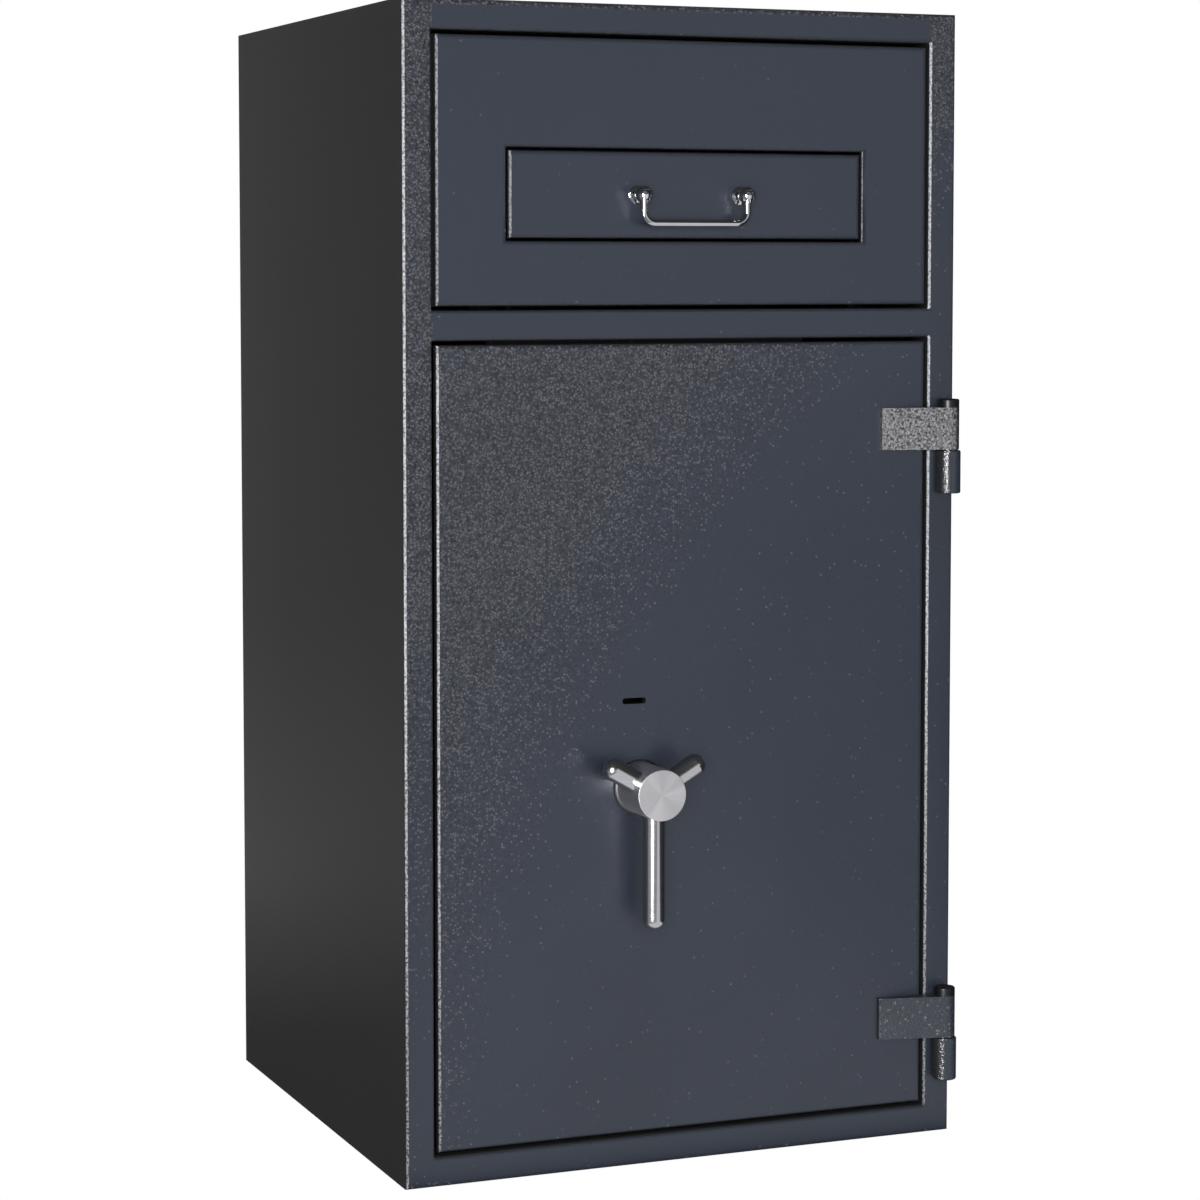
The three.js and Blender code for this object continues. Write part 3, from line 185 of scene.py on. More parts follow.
# bearing in degrees, from straight ahead of the front and growing to its right, and the wall's colour there
roomWalls = [(-180, (0.06, 0.06, 0.06, 1)), (-168, (0.10, 0.10, 0.10, 1)), (-158, (0.06, 0.06, 0.06, 1)),
             (-110, (0.06, 0.06, 0.06, 1)), (-70, (0.20, 0.20, 0.20, 1)), (-20, (0.36, 0.36, 0.36, 1)),
             (8, (0.48, 0.48, 0.49, 1)), (18, (0.96, 0.97, 1.0, 1)), (34, (0.96, 0.97, 1.0, 1)),
             (44, (0.06, 0.06, 0.06, 1)), (120, (0.015, 0.015, 0.015, 1)), (180, (0.07, 0.07, 0.07, 1))]
world = bpy.data.worlds.new("studio")
world.use_nodes = True
scene.world = world
tree = world.node_tree
tree.nodes.clear()
rays = addNode(tree, "ShaderNodeLightPath")
direction = addNode(tree, "ShaderNodeSeparateXYZ",
                    {"Vector": addNode(tree, "ShaderNodeTexCoord").outputs["Generated"]})
towards = reckon(tree, "MULTIPLY", direction.outputs["Y"], -1.0)
bearing = reckon(tree, "ARCTAN2", direction.outputs["X"], towards)
walls = addNode(tree, "ShaderNodeValToRGB", {"Fac": spread(tree, bearing, -math.pi, math.pi, 0, 1)})
stops = walls.color_ramp.elements
stops[0].color, stops[1].color = roomWalls[0][1], roomWalls[-1][1]
for degrees, colour in roomWalls[1:-1]:
    stops.new((degrees + 180) / 360).color = colour
upward = spread(tree, direction.outputs["Z"], 0.01, 0.32, 0, 1)
mirroredRoom = blendColour(tree, upward, walls.outputs["Color"], room["ceiling"])
unseen = blendColour(tree, mirroredShare(tree, rays), room["ambient"], mirroredRoom)
seen = blendColour(tree, rays.outputs["Is Camera Ray"], unseen, room["white"])
back = addNode(tree, "ShaderNodeBackground", {"Color": seen, "Strength": 1})
addNode(tree, "ShaderNodeOutputWorld", {"Surface": back.outputs["Background"]})
print("camera, lamps and room ready")


# share of the area of painted glints, which thins out along a slanting line from the upper right to the
# lower left
def glintZone(tree, spot, onFace, glintGrains, start):
    curve = reckon(tree, "MULTIPLY", spot.outputs["Z"], spot.outputs["Z"])
    curve = reckon(tree, "MULTIPLY_ADD", curve, 0.75, -start)
    inside = reckon(tree, "SUBTRACT", curve, spot.outputs["X"])
    return reckon(tree, "MULTIPLY", spread(tree, inside, -0.05, 0.12, 0, glintGrains), onFace)


# painted glints: pale dots of 2 mm, dense in the zone and sparse outside it, some warm and some cool
def addPaintedGlints(tree, base, place, zone, onFace, sparse):
    warm, cool = (0.30, 0.25, 0.21, 1), (0.29, 0.31, 0.35, 1)
    cells = addNode(tree, "ShaderNodeTexVoronoi", {"Vector": place, "Scale": 455, "Randomness": 1.0})
    chance = addNode(tree, "ShaderNodeSeparateColor", {"Color": cells.outputs["Color"]})
    chosen = reckon(tree, "GREATER_THAN", chance.outputs["Red"], spread(tree, zone, 0, 1, sparse, 0.15))
    dot = spread(tree, cells.outputs["Distance"], 0.1, 0.6, 1, 0)
    bright = reckon(tree, "POWER", chance.outputs["Green"], 3.0)
    strength = reckon(tree, "MULTIPLY", spread(tree, bright, 0, 1, 0.05, 0.9), onFace)
    glint = reckon(tree, "MULTIPLY", reckon(tree, "MULTIPLY", chosen, dot), strength)
    return blendColour(tree, glint, base, blendColour(tree, chance.outputs["Blue"], warm, cool))


# painted highlight: a beaded row of pale spots along each fold that faces left, closed above and broken
# towards the foot
def addPaintedHighlightBeads(tree, base, spot, aside, fold, bumps, highlightBeads):
    pale = (0.55, 0.56, 0.60, 1)
    leftward = spread(tree, aside, -0.25, -0.45, 0, highlightBeads)
    least = spread(tree, spot.outputs["Z"], 0.05, 0.45, 0, 0.3)
    highlightBead = spread(tree, bumps, 0.35, 0.6, least, 1.0)
    highlightBead = reckon(tree, "MULTIPLY", highlightBead, spread(tree, spot.outputs["Z"], 0.05, 0.45, 0.5, 1.0))
    highlightCrest = reckon(tree, "MULTIPLY", spread(tree, fold, 0.12, 0.21, 0, 1), leftward)
    return blendColour(tree, reckon(tree, "MULTIPLY", highlightCrest, highlightBead), base, pale)


# stove enamel: satin, smooth on the flats, coarser over folded edges, with painted shade that turns the
# sides a darker neutral grey peel is how far the skin stands up and foldPeel how many times further over a
# fold; the strengths of the painted glints and of the painted highlights on left-facing folds go from
# nought to one, and sparse is the share of cells that carry no painted glint
def enamel(name, colour, peel, glintGrains, foldPeel, mottling=0.05, polish=0.31, sparse=0.985,
           glintStart=0.24, highlightBeads=1.0):
    finish, tree, shader = newFinish(name, {"Specular IOR Level": 0.5})
    coordinates = addNode(tree, "ShaderNodeTexCoord")
    place = coordinates.outputs["Object"]
    spot = addNode(tree, "ShaderNodeSeparateXYZ", {"Vector": place})
    normal = addNode(tree, "ShaderNodeSeparateXYZ", {"Vector": coordinates.outputs["Normal"]})
    onFace = reckon(tree, "MULTIPLY", normal.outputs["Y"], normal.outputs["Y"])
    fold = reckon(tree, "MULTIPLY", onFace, reckon(tree, "SUBTRACT", 1.0, onFace))
    cloud = noise(tree, place, 7, 3)
    mottle = noise(tree, place, 430, 2, 0.6)
    bumps = noise(tree, place, 480, 1, 0.5)
    fine = noise(tree, place, 1500, 2, 0.6)

    # painted shade: faces turned away from the front take a darker neutral grey
    grey = sum(colour) / 3 * 0.9
    base = blendColour(tree, onFace, (grey, grey, grey * 1.03, 1), tuple(colour) + (1,))
    zone = glintZone(tree, spot, onFace, glintGrains, glintStart)
    tone = spread(tree, cloud.outputs["Fac"], 0.35, 0.65, 1 - mottling, 1 + mottling)
    swing = spread(tree, mottle.outputs["Fac"], 0.3, 0.7, -0.5, 0.5)
    # painted glints and sheen: inside the zone the mottling is stronger, and the colour is warmer below
    tone = reckon(tree, "MULTIPLY_ADD", swing, spread(tree, zone, 0, 1, mottling, 1.4), tone)
    base = tinted(tree, base, greyOf(tree, tone))
    base = blendColour(tree, zone, base, tinted(tree, base, (0.98, 0.91, 0.84, 1)))
    base = addPaintedGlints(tree, base, place, zone, onFace, sparse)
    base = addPaintedHighlightBeads(tree, base, spot, normal.outputs["X"], fold, bumps.outputs["Fac"], highlightBeads)
    tree.links.new(base, shader.inputs["Base Color"])

    satin = spread(tree, fine.outputs["Fac"], 0.3, 0.7, polish * 0.85, polish * 1.2)
    tree.links.new(satin, shader.inputs["Roughness"])
    height = reckon(tree, "MULTIPLY_ADD", fine.outputs["Fac"], 0.2, bumps.outputs["Fac"])
    height = reckon(tree, "MULTIPLY", height, spread(tree, fold, 0.0, 0.2, 1.0, foldPeel))
    roughen(tree, shader, peel, height)
    return finish


# the upper strap's enamel stands up in coarse grain whose pale tops are painted glints, and painted shade
# turns it near black where it faces right
def coarseEnamel(name, dark, pale, peel, grit):
    finish, tree, shader = newFinish(name, {"Specular IOR Level": 0.5})
    coordinates = addNode(tree, "ShaderNodeTexCoord")
    place = coordinates.outputs["Object"]
    aside = addNode(tree, "ShaderNodeSeparateXYZ", {"Vector": coordinates.outputs["Normal"]}).outputs["X"]
    glintGrains = noise(tree, place, grit, 2, 0.6)
    fine = noise(tree, place, 1500, 2, 0.6)
    highlightCrest = spread(tree, glintGrains.outputs["Fac"], 0.36, 0.66, 0, 1)
    # painted shade: near black where the strap faces right
    turned = spread(tree, aside, 0.15, 0.6, 0, 1)
    glintsAndShade = blendColour(tree, turned, blendColour(tree, highlightCrest, dark, pale), (0.004, 0.004, 0.004, 1))
    tree.links.new(glintsAndShade, shader.inputs["Base Color"])
    tree.links.new(spread(tree, fine.outputs["Fac"], 0.3, 0.7, 0.26, 0.4), shader.inputs["Roughness"])
    roughen(tree, shader, peel, glintGrains.outputs["Fac"])
    return finish


# bare metal with grain drawn out along one axis and a little clouding
def bareMetal(name, colour, roughness, stretch=(1, 1, 1), grainScale=700, clouding=0.12, bump=0.000006):
    finish, tree, shader = newFinish(name, {"Metallic": 1.0})
    place = addNode(tree, "ShaderNodeTexCoord").outputs["Object"]
    drawn = addNode(tree, "ShaderNodeMapping", {"Vector": place, "Scale": stretch}).outputs["Vector"]
    grain = noise(tree, drawn, grainScale, 3, 0.6)
    cloud = noise(tree, place, 28, 3)
    dark = tuple(c * (1 - clouding) for c in colour) + (1,)
    clouded = spread(tree, cloud.outputs["Fac"], 0.3, 0.7, 0, 1)
    base = blendColour(tree, clouded, dark, tuple(colour) + (1,))
    streak = spread(tree, grain.outputs["Fac"], 0.25, 0.75, 0.88, 1.0)
    tree.links.new(tinted(tree, base, greyOf(tree, streak)), shader.inputs["Base Color"])
    tree.links.new(spread(tree, grain.outputs["Fac"], 0.2, 0.8, roughness * 0.75, roughness * 1.3),
                   shader.inputs["Roughness"])
    roughen(tree, shader, bump, grain.outputs["Fac"])
    return finish


# x and z of the handle's spindle
spindleAxis = (-45, 331)


# metal faced on a lathe about an axis from front to back: fine rings crossed by soft fans of sheen painted
# into the colour
def facedMetal(name, colour, roughness, centre):
    finish, tree, shader = newFinish(name, {"Metallic": 1.0})
    place = addNode(tree, "ShaderNodeTexCoord").outputs["Object"]
    offset = addNode(tree, "ShaderNodeVectorMath", {0: place, 1: mm(centre[0], 245, centre[1])},
                     operation="SUBTRACT")
    flat = addNode(tree, "ShaderNodeVectorMath", {0: offset.outputs["Vector"], 1: (1, 0, 1)},
                   operation="MULTIPLY").outputs["Vector"]
    radius = addNode(tree, "ShaderNodeVectorMath", {0: flat}, operation="LENGTH").outputs["Value"]
    ray = addNode(tree, "ShaderNodeVectorMath", {0: flat}, operation="NORMALIZE").outputs["Vector"]
    outFrom = addNode(tree, "ShaderNodeCombineXYZ", {"X": radius}).outputs["Vector"]
    rings = noise(tree, outFrom, 1500, 2, 0.6)
    # painted sheen: soft fans of lighter and darker colour round the axis
    fans = noise(tree, ray, 1.6, 2, 0.5)
    sheen = spread(tree, fans.outputs["Fac"], 0.3, 0.7, 0.86, 1.1)
    turnedMarks = spread(tree, rings.outputs["Fac"], 0.3, 0.7, 0.96, 1.04)
    tone = greyOf(tree, reckon(tree, "MULTIPLY", sheen, turnedMarks))
    tree.links.new(tinted(tree, tuple(colour) + (1,), tone), shader.inputs["Base Color"])
    tree.links.new(spread(tree, rings.outputs["Fac"], 0.2, 0.8, roughness * 0.85, roughness * 1.15),
                   shader.inputs["Roughness"])
    return finish


# moulded black plastic with a fine grain
def blackPlastic(name, colour, gloss, roughness):
    finish, tree, shader = newFinish(name, {"Specular IOR Level": gloss})
    grain = noise(tree, addNode(tree, "ShaderNodeTexCoord").outputs["Object"], 900, 2)
    dark = tuple(c * 0.35 for c in colour) + (1,)
    tree.links.new(blendColour(tree, grain.outputs["Fac"], dark, tuple(colour) + (1,)),
                   shader.inputs["Base Color"])
    tree.links.new(spread(tree, grain.outputs["Fac"], 0.3, 0.7, roughness * 0.85, roughness * 1.15),
                   shader.inputs["Roughness"])
    return finish


# the finishes of this safe
doorEnamel = enamel("anthraciteEnamel", (0.022, 0.027, 0.040), 0.00005, 1.0, foldPeel=14.0)
stileEnamel = enamel("stileEnamel", (0.021, 0.026, 0.038), 0.00005, 1.0, foldPeel=14.0, glintStart=0.30)
hingeEnamel = enamel("hingeEnamel", (0.022, 0.027, 0.040), 0.00005, 0.0, foldPeel=15.0, polish=0.24,
                     highlightBeads=0.0)
panelEnamel = enamel("panelEnamel", (0.021, 0.027, 0.040), 0.00002, 0.0, mottling=0.02, foldPeel=30.0,
                     sparse=0.997, highlightBeads=0.6)
# painted glints and painted shade on the upper strap
strapGlintEnamel = coarseEnamel("strapGlintEnamel", (0.008, 0.008, 0.009, 1), (0.23, 0.225, 0.24, 1), 0.0006, 520)
# painted shade: the walls are a neutral darker grey copy of the enamel, standing in for how the sides are
# lit
wallShadeEnamel = enamel("wallShadeEnamel", (0.028, 0.028, 0.029), 0.00003, 0.0, mottling=0.03, foldPeel=1.0,
                    sparse=0.9995, highlightBeads=0.0)
lowStrapEnamel = enamel("lowStrapEnamel", (0.022, 0.027, 0.038), 0.0004, 0.0, mottling=0.30, foldPeel=1.5,
                        sparse=0.72, highlightBeads=0.0)
innerEnamel = enamel("innerEnamel", (0.016, 0.019, 0.025), 0.00003, 0.0, foldPeel=1.0, highlightBeads=0.0)
# painted shade: near black enamel for parts seen through the gaps, standing in for the shade there
paintedShadeEnamel = enamel("paintedShadeEnamel", (0.005, 0.005, 0.006), 0.00003, 0.0, foldPeel=1.0, polish=0.6,
                      highlightBeads=0.0)
satinSteel = bareMetal("satinSteel", (0.60, 0.60, 0.61), 0.17, stretch=(0.06, 0.06, 1), grainScale=900,
                       clouding=0.04)
hubSteel = facedMetal("hubSteel", (0.61, 0.60, 0.612), 0.38, spindleAxis)
# painted shade: the rose's steel is darkened to stand in for the shade and the dark reflection on it
roseShadeSteel = bareMetal("roseShadeSteel", (0.08, 0.08, 0.085), 0.5, grainScale=260, clouding=0.04)
turnedSteelFinish = bareMetal("machinedSteel", (0.56, 0.56, 0.57), 0.24, stretch=(0.3, 1, 1))
# painted shade: the lock case behind the keyhole is darkened to stand in for the shade there
keyholeShadeFinish = bareMetal("keyholeShadeCase", (0.09, 0.09, 0.095), 0.45, grainScale=240, clouding=0.25)
zincFinish = bareMetal("passivatedZinc", (0.46, 0.48, 0.50), 0.42, grainScale=240, clouding=0.25)
chromeFinish = bareMetal("brightChrome", (0.63, 0.63, 0.65), 0.06, grainScale=120, clouding=0.05,
                         bump=0.000001)
bronzeFinish = bareMetal("castBronze", (0.45, 0.28, 0.13), 0.38, grainScale=320, clouding=0.2)
capPlastic = blackPlastic("blackCapPlastic", (0.012, 0.012, 0.013), 0.2, 0.36)
railPlastic = blackPlastic("blackRailPlastic", (0.004, 0.004, 0.004), 0.02, 0.6)
print("finishes mixed")


# edges sharper than 32 degrees stay sharp
def finishPiece(piece, body, finish, nodes):
    takeUp(piece)
    piece.data.materials.clear()
    piece.data.materials.append(finish)
    bpy.ops.object.shade_smooth_by_angle(angle=math.radians(32))
    evened = piece.modifiers.new("evened", "WEIGHTED_NORMAL")
    evened.keep_sharp = True
    bpy.ops.object.modifier_apply(modifier=evened.name)
    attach(piece, body)
    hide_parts(*nodes)


# a merged copy of a sheet part with its edges eased; cuts beside the mitres keep the roundings even
def dressSheet(node, body, finish=doorEnamel, edge=0.0, wanted=None, cutsX=(),
               cutsZ=()):
    piece = bpy.data.objects.new(node + "_dressed", cadNodes[node].data.copy())
    scene.collection.objects.link(piece)
    openForEditing(piece)
    bpy.ops.mesh.select_all(action="SELECT")
    bpy.ops.mesh.remove_doubles(threshold=0.00002)
    bpy.ops.mesh.dissolve_limited(angle_limit=math.radians(0.4))
    for x in cutsX:
        bpy.ops.mesh.select_all(action="SELECT")
        bpy.ops.mesh.bisect(plane_co=mm(x, 0, 0), plane_no=(1, 0, 0))
    for z in cutsZ:
        bpy.ops.mesh.select_all(action="SELECT")
        bpy.ops.mesh.bisect(plane_co=mm(0, 0, z), plane_no=(0, 0, 1))
    bpy.ops.mesh.select_mode(type="EDGE")
    if edge:
        pick(piece, "edges", lambda e: e.calc_face_angle(0) > 0.6
             and (wanted is None or wanted(middle(e))))
        bpy.ops.mesh.bevel(offset=edge / 1000, offset_type="OFFSET", segments=2, affect="EDGES",
                           clamp_overlap=True)
    letGo()
    finishPiece(piece, body, finish, [node])


# a round part drawn along +z through rings of (height, radius); a bored one has its two ends joined
def turnRings(name, rings, sides=48, bored=False):
    letGo()
    height, radius = rings[0]
    bpy.ops.mesh.primitive_circle_add(vertices=sides, radius=radius / 1000, fill_type="NGON",
                                      location=(0, 0, 0))
    piece = bpy.context.object
    piece.name = name
    bpy.ops.object.mode_set(mode="EDIT")
    bpy.ops.mesh.select_all(action="SELECT")
    bpy.ops.transform.translate(value=(0, 0, height / 1000))
    for nextHeight, nextRadius in rings[1:]:
        bpy.ops.mesh.extrude_region_move(
            TRANSFORM_OT_translate={"value": (0, 0, (nextHeight - height) / 1000)})
        grow = nextRadius / radius
        bpy.ops.transform.resize(value=(grow, grow, 1), center_override=(0, 0, nextHeight / 1000))
        height, radius = nextHeight, nextRadius
    if bored:
        bpy.ops.mesh.select_mode(type="FACE")
        pick(piece, "faces", lambda f: len(f.verts) == sides)
        bpy.ops.mesh.bridge_edge_loops()
    bpy.ops.mesh.select_all(action="SELECT")
    bpy.ops.mesh.normals_make_consistent(inside=False)
    bpy.ops.object.mode_set(mode="OBJECT")
    return piece


# turns a piece and moves it to its place, in its own mesh
def setDown(piece, place, turn=(0, 0, 0)):
    piece.location = place
    piece.rotation_euler = turn
    takeUp(piece)
    bpy.ops.object.transform_apply(location=True, rotation=True, scale=True)
    return piece


# a box between the low and the high value of each pair
def boxAt(name, x, y, z):
    letGo()
    low, high = mm(x[0], y[0], z[0]), mm(x[1], y[1], z[1])
    bpy.ops.mesh.primitive_cube_add(size=1, location=(low + high) / 2, scale=high - low)
    bpy.context.object.name = name
    takeUp(bpy.context.object)
    bpy.ops.object.transform_apply(location=True, rotation=True, scale=True)
    return bpy.context.object


def carve(piece, cutter, operation="DIFFERENCE"):
    takeUp(piece)
    change = piece.modifiers.new("carve", "BOOLEAN")
    change.object = cutter
    change.operation = operation
    change.solver = "EXACT"
    bpy.ops.object.modifier_apply(modifier=change.name)
    bpy.data.objects.remove(cutter, do_unlink=True)


# rings of a rounded end: straight side up to the rounding, then in over the top
def rounding(radius, top, depth, steps):
    rings = []
    for i in range(steps + 1):
        angle = i / steps * math.pi / 2
        rings.append((top - depth + depth * math.sin(angle), radius - depth + depth * math.cos(angle)))
    return rings


# cabinet: frame, walls, fixed panel
for stile in ("left_stile", "right_stile"):
    dressSheet(stile, "cabinet", finish=stileEnamel, cutsZ=(26.5, 715.5, 742.5, 973.5))
for rail in ("top_rail", "middle_rail", "bottom_rail"):
    dressSheet(rail, "cabinet", finish=panelEnamel)
for wall in ("left_wall", "right_wall", "back_plate"):
    dressSheet(wall, "cabinet", finish=wallShadeEnamel)
for plate in ("top_plate", "base_plate"):
    dressSheet(plate, "cabinet", cutsX=(-253, 253))
dressSheet("upper_panel", "cabinet", finish=panelEnamel, cutsX=(-224, -171, 171, 224),
           cutsZ=(750, 795, 883, 966))
print("cabinet dressed")


# door plate with the rim of its keyhole eased, drawer front
def atKeyhole(spot):
    keyhole = mm(-50, 0.4, 406)
    return spot.y < keyhole.y and abs(spot.x - keyhole.x) < 0.03 and abs(spot.z - keyhole.z) < 0.02


dressSheet("door_plate", "door", edge=0.4, wanted=atKeyhole, cutsX=(-224, 224), cutsZ=(34, 708))
dressSheet("drawer_front", "drawer", finish=panelEnamel, cutsX=(-159, 159), cutsZ=(807, 871))

# hinges: x and y of their axis, then the height at which each post stands and what dresses its strap
pinX, pinY = 248, -10


# true away from the pin's axis, so that the rim of the bore stays sharp
def besidePin(spot):
    return abs(spot.x - pinX / 1000) > 0.0055


for hinge, z, strapFinish in (("upper", 578, strapGlintEnamel), ("lower", 51, lowStrapEnamel)):
    post = turnRings(hinge + "_hinge_post_turned", [
        (0, 9.7), (0.8, 10.5), (36.6, 10.5), (37.6, 10.1), (38, 9.4), (38, 8), (38.7, 8), (38.7, 5),
        (70, 5)])
    setDown(post, mm(pinX, pinY, z))
    openForEditing(post)
    bpy.ops.mesh.select_all(action="SELECT")
    bpy.ops.mesh.bisect(plane_co=mm(0, 0, 0), plane_no=(0, 1, 0), use_fill=True, clear_outer=True)
    finishPiece(post, "cabinet", hingeEnamel, [hinge + "_hinge_post"])
    dressSheet(hinge + "_hinge_strap", "door", finish=strapFinish, edge=0.5, wanted=besidePin)
    cap = turnRings(hinge + "_hinge_cap_turned", [(-5.3, 5), (0, 5), (0, 9)] + rounding(9, 7.5, 1.5, 4))
    setDown(cap, mm(pinX, pinY, z + 76))
    finishPiece(cap, "door", capPlastic, [hinge + "_hinge_cap"])
print("hinges made")

# three-spoke handle: radii of spokes and sockets, and how far the spokes reach from the spindle
handle = {"spokePlane": -31.5, "spoke": 9.5, "socket": 9.8, "long": 118, "short": 52}
handleX, handleZ = spindleAxis
hub = turnRings("handle_hub_turned", [(29.8, 6.3), (4.3, 6.3), (4.3, 21.4), (4.9, 22), (49.4, 22),
                                      (49.8, 21.8), (50, 21.4), (50, 10), (50, 0.6)], sides=72)
setDown(hub, mm(handleX, 0, handleZ), (math.pi / 2, 0, 0))
spokes = {"long_spoke": (math.pi, handle["long"]), "left_short_spoke": (-math.pi / 3, handle["short"]),
          "right_short_spoke": (math.pi / 3, handle["short"])}
for spoke, (lean, reach) in spokes.items():
    socket = turnRings("socket", [(12, handle["socket"]), (30, handle["socket"])], sides=40)
    setDown(socket, mm(handleX, handle["spokePlane"], handleZ), (0, lean, 0))
    carve(hub, socket)
    barRings = [(12.3, 8.6), (13.2, handle["spoke"])] + rounding(handle["spoke"], reach, 8.5, 8)
    bar = turnRings(spoke + "_turned", barRings, sides=40)
    setDown(bar, mm(handleX, handle["spokePlane"], handleZ), (0, lean, 0))
    finishPiece(bar, "handle", satinSteel, [spoke])
finishPiece(hub, "handle", hubSteel, ["handle_hub"])
roseRing = turnRings("handle_rose_turned", [(0, 6.5), (0, 24), (2, 24), (3.2, 23.2), (4, 21.8), (4, 6.5)],
                     sides=72, bored=True)
setDown(roseRing, mm(handleX, 0, handleZ), (math.pi / 2, 0, 0))
finishPiece(roseRing, "door", roseShadeSteel, ["handle_rose"])
print("handle turned")

# drop pull: two posts with a slotted ball, and the wire between them
pull = {"spacing": 96, "z": 839, "standoff": 16, "ball": 7.5, "neck": 3.5, "wire": 3, "drop": 24,
        "corner": 10}
ballRings = []
startAngle = math.asin(pull["neck"] / pull["ball"])
for i in range(1, 14):
    angle = startAngle + (math.pi - startAngle) * i / 14
    ballRings.append((pull["standoff"] - pull["ball"] * math.cos(angle), pull["ball"] * math.sin(angle)))
for side, postName in ((-1, "left_pull_post"), (1, "right_pull_post")):
    x = side * pull["spacing"] / 2
    footRings = [(0, 8), (1.0, 8), (1.6, 7.7), (2.2, 6.6), (2.5, 5.6), (2.7, 4.2), (3.6, 3.6), (4.6, 3.5),
                 (9.37, 3.5)]
    tip = [(pull["standoff"] + pull["ball"], 0.4)]
    post = turnRings(postName + "_turned", footRings + ballRings + tip, sides=40)
    setDown(post, mm(x, 0, pull["z"]), (math.pi / 2, 0, 0))
    carve(post, boxAt("slot", (x - 3.3, x + 3.3), (-24.5, -11.7), (pull["z"] - 8.5, pull["z"] + 4.3)))
    pin = turnRings("pin", [(-4.3, 1.5), (4.3, 1.5)], sides=20)
    setDown(pin, mm(x, -pull["standoff"], pull["z"]), (0, math.pi / 2, 0))
    carve(post, pin, "UNION")
    finishPiece(post, "drawer", chromeFinish, [postName])

# the wire: down from one eye, round the corner, across and up again
letGo()
half, drop, corner = pull["spacing"] / 2000, pull["drop"] / 1000, pull["corner"] / 1000
bpy.ops.mesh.primitive_circle_add(vertices=20, radius=pull["wire"] / 1000, fill_type="NGON",
                                  location=(-half, 0, 0))
wire = bpy.context.object
wire.name = "drawer_bail_wire"
bpy.ops.object.mode_set(mode="EDIT")
bpy.ops.mesh.select_all(action="SELECT")
bpy.ops.mesh.extrude_region_move(TRANSFORM_OT_translate={"value": (0, 0, -(drop - corner))})
bpy.ops.mesh.spin(steps=8, angle=math.pi / 2, center=(corner - half, 0, corner - drop), axis=(0, 1, 0))
bpy.ops.mesh.extrude_region_move(TRANSFORM_OT_translate={"value": (2 * (half - corner), 0, 0)})
bpy.ops.mesh.spin(steps=8, angle=math.pi / 2, center=(half - corner, 0, corner - drop), axis=(0, 1, 0))
bpy.ops.mesh.extrude_region_move(TRANSFORM_OT_translate={"value": (0, 0, drop - corner)})
bpy.ops.mesh.select_all(action="SELECT")
bpy.ops.mesh.remove_doubles(threshold=0.00001)
bpy.ops.mesh.normals_make_consistent(inside=False)
bpy.ops.object.mode_set(mode="OBJECT")
takeUp(wire)
bpy.ops.object.transform_apply(location=True, rotation=True, scale=True)
setDown(wire, mm(0, -pull["standoff"], pull["z"]))
for side in (-1, 1):
    pivot = mm(side * pull["spacing"] / 2, -pull["standoff"], pull["z"])
    eye = turnRings("eye", [(-3, 3.6), (-2.6, 4), (2.6, 4), (3, 3.6)], sides=32)
    setDown(eye, pivot, (0, math.pi / 2, 0))
    carve(wire, eye, "UNION")
    hole = turnRings("hole", [(-4, 1.8), (4, 1.8)], sides=24)
    setDown(hole, pivot, (0, math.pi / 2, 0))
    carve(wire, hole)
finishPiece(wire, "bail", chromeFinish, ["drawer_bail"])
print("pull made")

# round parts of the boltwork; the bolts are turned once and copied: body, foot and turn of each
bolts = {"lower_side_bolt": ("side_bolt_set", (-168, 42, 150), (0, -math.pi / 2, 0)),
         "middle_side_bolt": ("side_bolt_set", (-168, 42, 371), (0, -math.pi / 2, 0)),
         "upper_side_bolt": ("side_bolt_set", (-168, 42, 592), (0, -math.pi / 2, 0)),
         "top_bolt": ("top_bolt_set", (-20.5, 42, 652), (0, 0, 0)),
         "bottom_bolt": ("bottom_bolt_set", (-69.5, 42, 90), (math.pi, 0, 0))}
firstBolt = turnRings("bolt_turned", [(0, 9.6), (0.4, 10), (46.2, 10), (47, 9.7), (47.7, 9.1), (48, 8.4)])
for bolt, (body, place, turn) in bolts.items():
    copy = bpy.data.objects.new(bolt + "_turned", firstBolt.data.copy())
    scene.collection.objects.link(copy)
    setDown(copy, mm(*place), turn)
    finishPiece(copy, body, turnedSteelFinish, [bolt])
bpy.data.objects.remove(firstBolt, do_unlink=True)
spindle = turnRings("spindle_turned", [(-62.5, 5.4), (-61.9, 6), (28.9, 6), (29.5, 5.4)], sides=32)
setDown(spindle, mm(handleX, 0, handleZ), (math.pi / 2, 0, 0))
finishPiece(spindle, "handle", turnedSteelFinish, ["spindle"])
bearing = turnRings("spindle_bearing_turned", [
    (-63, 6.3), (-63, 8.6), (-62.6, 9), (-58, 9), (-58, 13.6), (-57.6, 14), (-55.4, 14), (-55, 13.6),
    (-55, 6.3)], bored=True)
setDown(bearing, mm(handleX, 0, handleZ), (math.pi / 2, 0, 0))
finishPiece(bearing, "door", bronzeFinish, ["spindle_bearing"])
print("boltwork turned")

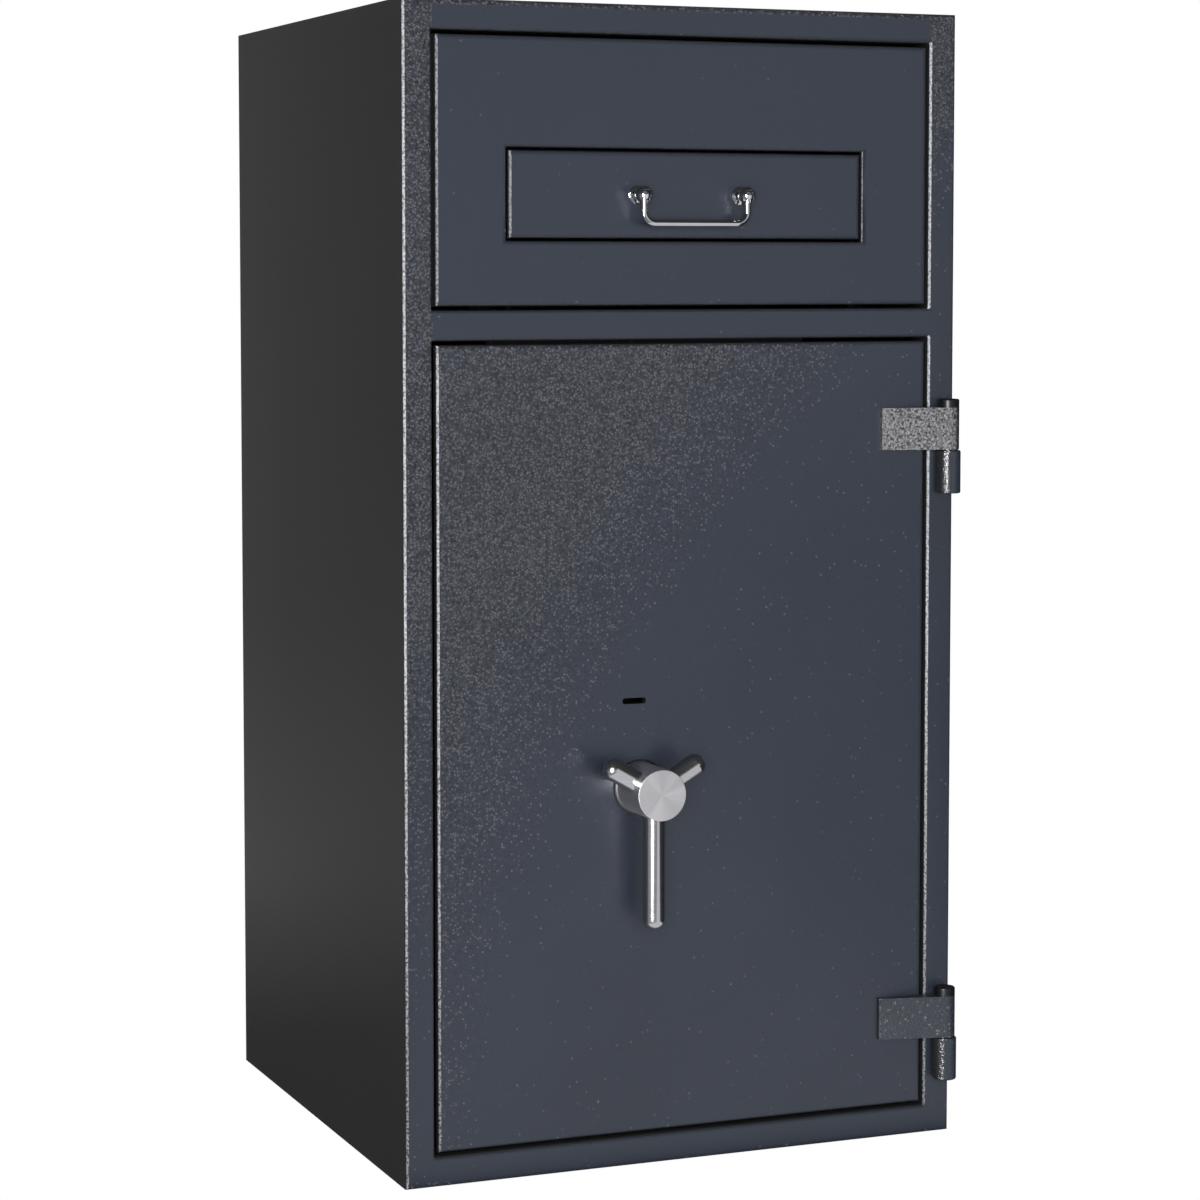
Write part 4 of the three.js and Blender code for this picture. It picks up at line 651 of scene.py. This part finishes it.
# folded and milled parts behind the front: slot and width of the eased edges for each part of each body
slotFinishes = {"textured_paint": innerEnamel, "zinc_plated_steel": zincFinish,
                "turned_steel": turnedSteelFinish, "bronze": bronzeFinish, "black_plastic": railPlastic}
# painted shade: brackets, runners and lock case take the darkened finishes above
ownFinishes = {"left_panel_bracket": paintedShadeEnamel, "right_panel_bracket": paintedShadeEnamel,
               "left_runner": paintedShadeEnamel, "right_runner": paintedShadeEnamel, "lock_case": keyholeShadeFinish}
innerParts = {
    "cabinet": {"vault_divider": ("textured_paint", 0.4), "drop_chute": ("textured_paint", 0.4),
                "left_panel_bracket": ("textured_paint", 0.4),
                "right_panel_bracket": ("textured_paint", 0.4),
                "left_runner": ("textured_paint", 0.3), "right_runner": ("textured_paint", 0.3),
                "left_lift_rail": ("black_plastic", 0.4), "right_lift_rail": ("black_plastic", 0.4)},
    "drawer": {"drawer_tray": ("zinc_plated_steel", 0.3), "left_slide": ("turned_steel", 0.4),
               "right_slide": ("turned_steel", 0.4)},
    "falling_floor": {"drop_floor": ("zinc_plated_steel", 0.3)},
    "door": {"door_pan": ("textured_paint", 0.4), "door_cover": ("textured_paint", 0.4),
             "dead_bar": ("zinc_plated_steel", 0.6), "side_rack_guide": ("zinc_plated_steel", 0.5),
             "top_rod_guide": ("zinc_plated_steel", 0.5), "bottom_rod_guide": ("zinc_plated_steel", 0.5),
             "lock_case": ("zinc_plated_steel", 0.6)},
    "handle": {"pinion": ("turned_steel", 0.3)},
    "side_bolt_set": {"side_rack_bar": ("turned_steel", 0.3), "throw_bar": ("zinc_plated_steel", 0.6)},
    "top_bolt_set": {"top_rack_rod": ("turned_steel", 0.3)},
    "bottom_bolt_set": {"bottom_rack_rod": ("turned_steel", 0.3)},
    "key_bolt": {"lock_bolt": ("bronze", 0.5)},
}
for body, parts in innerParts.items():
    for part, (slotName, ease) in parts.items():
        finish = ownFinishes.get(part, slotFinishes[slotName])
        dressSheet(part, body, finish, ease)
print("inner parts finished")

# the bright box serves fittings alone, because a flat sheet would mirror it whole
fittings = bpy.data.collections.new("fittings")
for piece in ("handle_hub_turned", "long_spoke_turned", "left_short_spoke_turned",
              "right_short_spoke_turned", "handle_rose_turned", "left_pull_post_turned",
              "right_pull_post_turned", "drawer_bail_wire", "upper_hinge_post_turned",
              "lower_hinge_post_turned", "upper_hinge_cap_turned", "lower_hinge_cap_turned",
              "upper_hinge_strap_dressed", "lower_hinge_strap_dressed"):
    fittings.objects.link(bpy.data.objects[piece])
bpy.data.objects["leftBox"].light_linking.receiver_collection = fittings

# pale floor: pure white to the camera, a soft glow in front of the safe to everything shiny
letGo()
bpy.ops.mesh.primitive_plane_add(size=12, location=(0, 0, 0))
floor = bpy.context.object
floor.name = "studio_floor"
floorFinish, tree, shader = newFinish("paleFloor", {"Base Color": (0.62, 0.62, 0.62, 1), "Roughness": 0.9,
                                                    "Specular IOR Level": 0.0})
rays = addNode(tree, "ShaderNodeLightPath")
spot = addNode(tree, "ShaderNodeSeparateXYZ",
               {"Vector": addNode(tree, "ShaderNodeTexCoord").outputs["Object"]})
front = spread(tree, spot.outputs["Y"], -0.295, -0.25, 0.82, 0.06)
behind = spread(tree, spot.outputs["Y"], 0.35, 0.85, 0, 0.12)
slant = reckon(tree, "MULTIPLY_ADD", spot.outputs["Y"], 0.42, spot.outputs["X"])
aside = spread(tree, slant, -0.62, -0.42, 0.35, 1.0)
beyond = spread(tree, slant, 0.18, 0.34, 1.0, 0.05)
pale = reckon(tree, "MULTIPLY", reckon(tree, "ADD", front, behind), reckon(tree, "MULTIPLY", aside, beyond))
pale = reckon(tree, "MAXIMUM", pale, rays.outputs["Is Camera Ray"])
toned = blendColour(tree, rays.outputs["Is Camera Ray"], (0.98, 0.99, 1.03, 1), (1, 1, 1, 1))
glow = addNode(tree, "ShaderNodeEmission", {"Color": toned, "Strength": pale})
share = reckon(tree, "MAXIMUM", mirroredShare(tree, rays), rays.outputs["Is Camera Ray"])
blend = addNode(tree, "ShaderNodeMixShader", {0: share, 1: shader.outputs["BSDF"],
                                              2: glow.outputs["Emission"]})
tree.links.new(blend.outputs["Shader"], tree.nodes["Material Output"].inputs["Surface"])
floor.data.materials.append(floorFinish)
print("floor laid")

letGo()
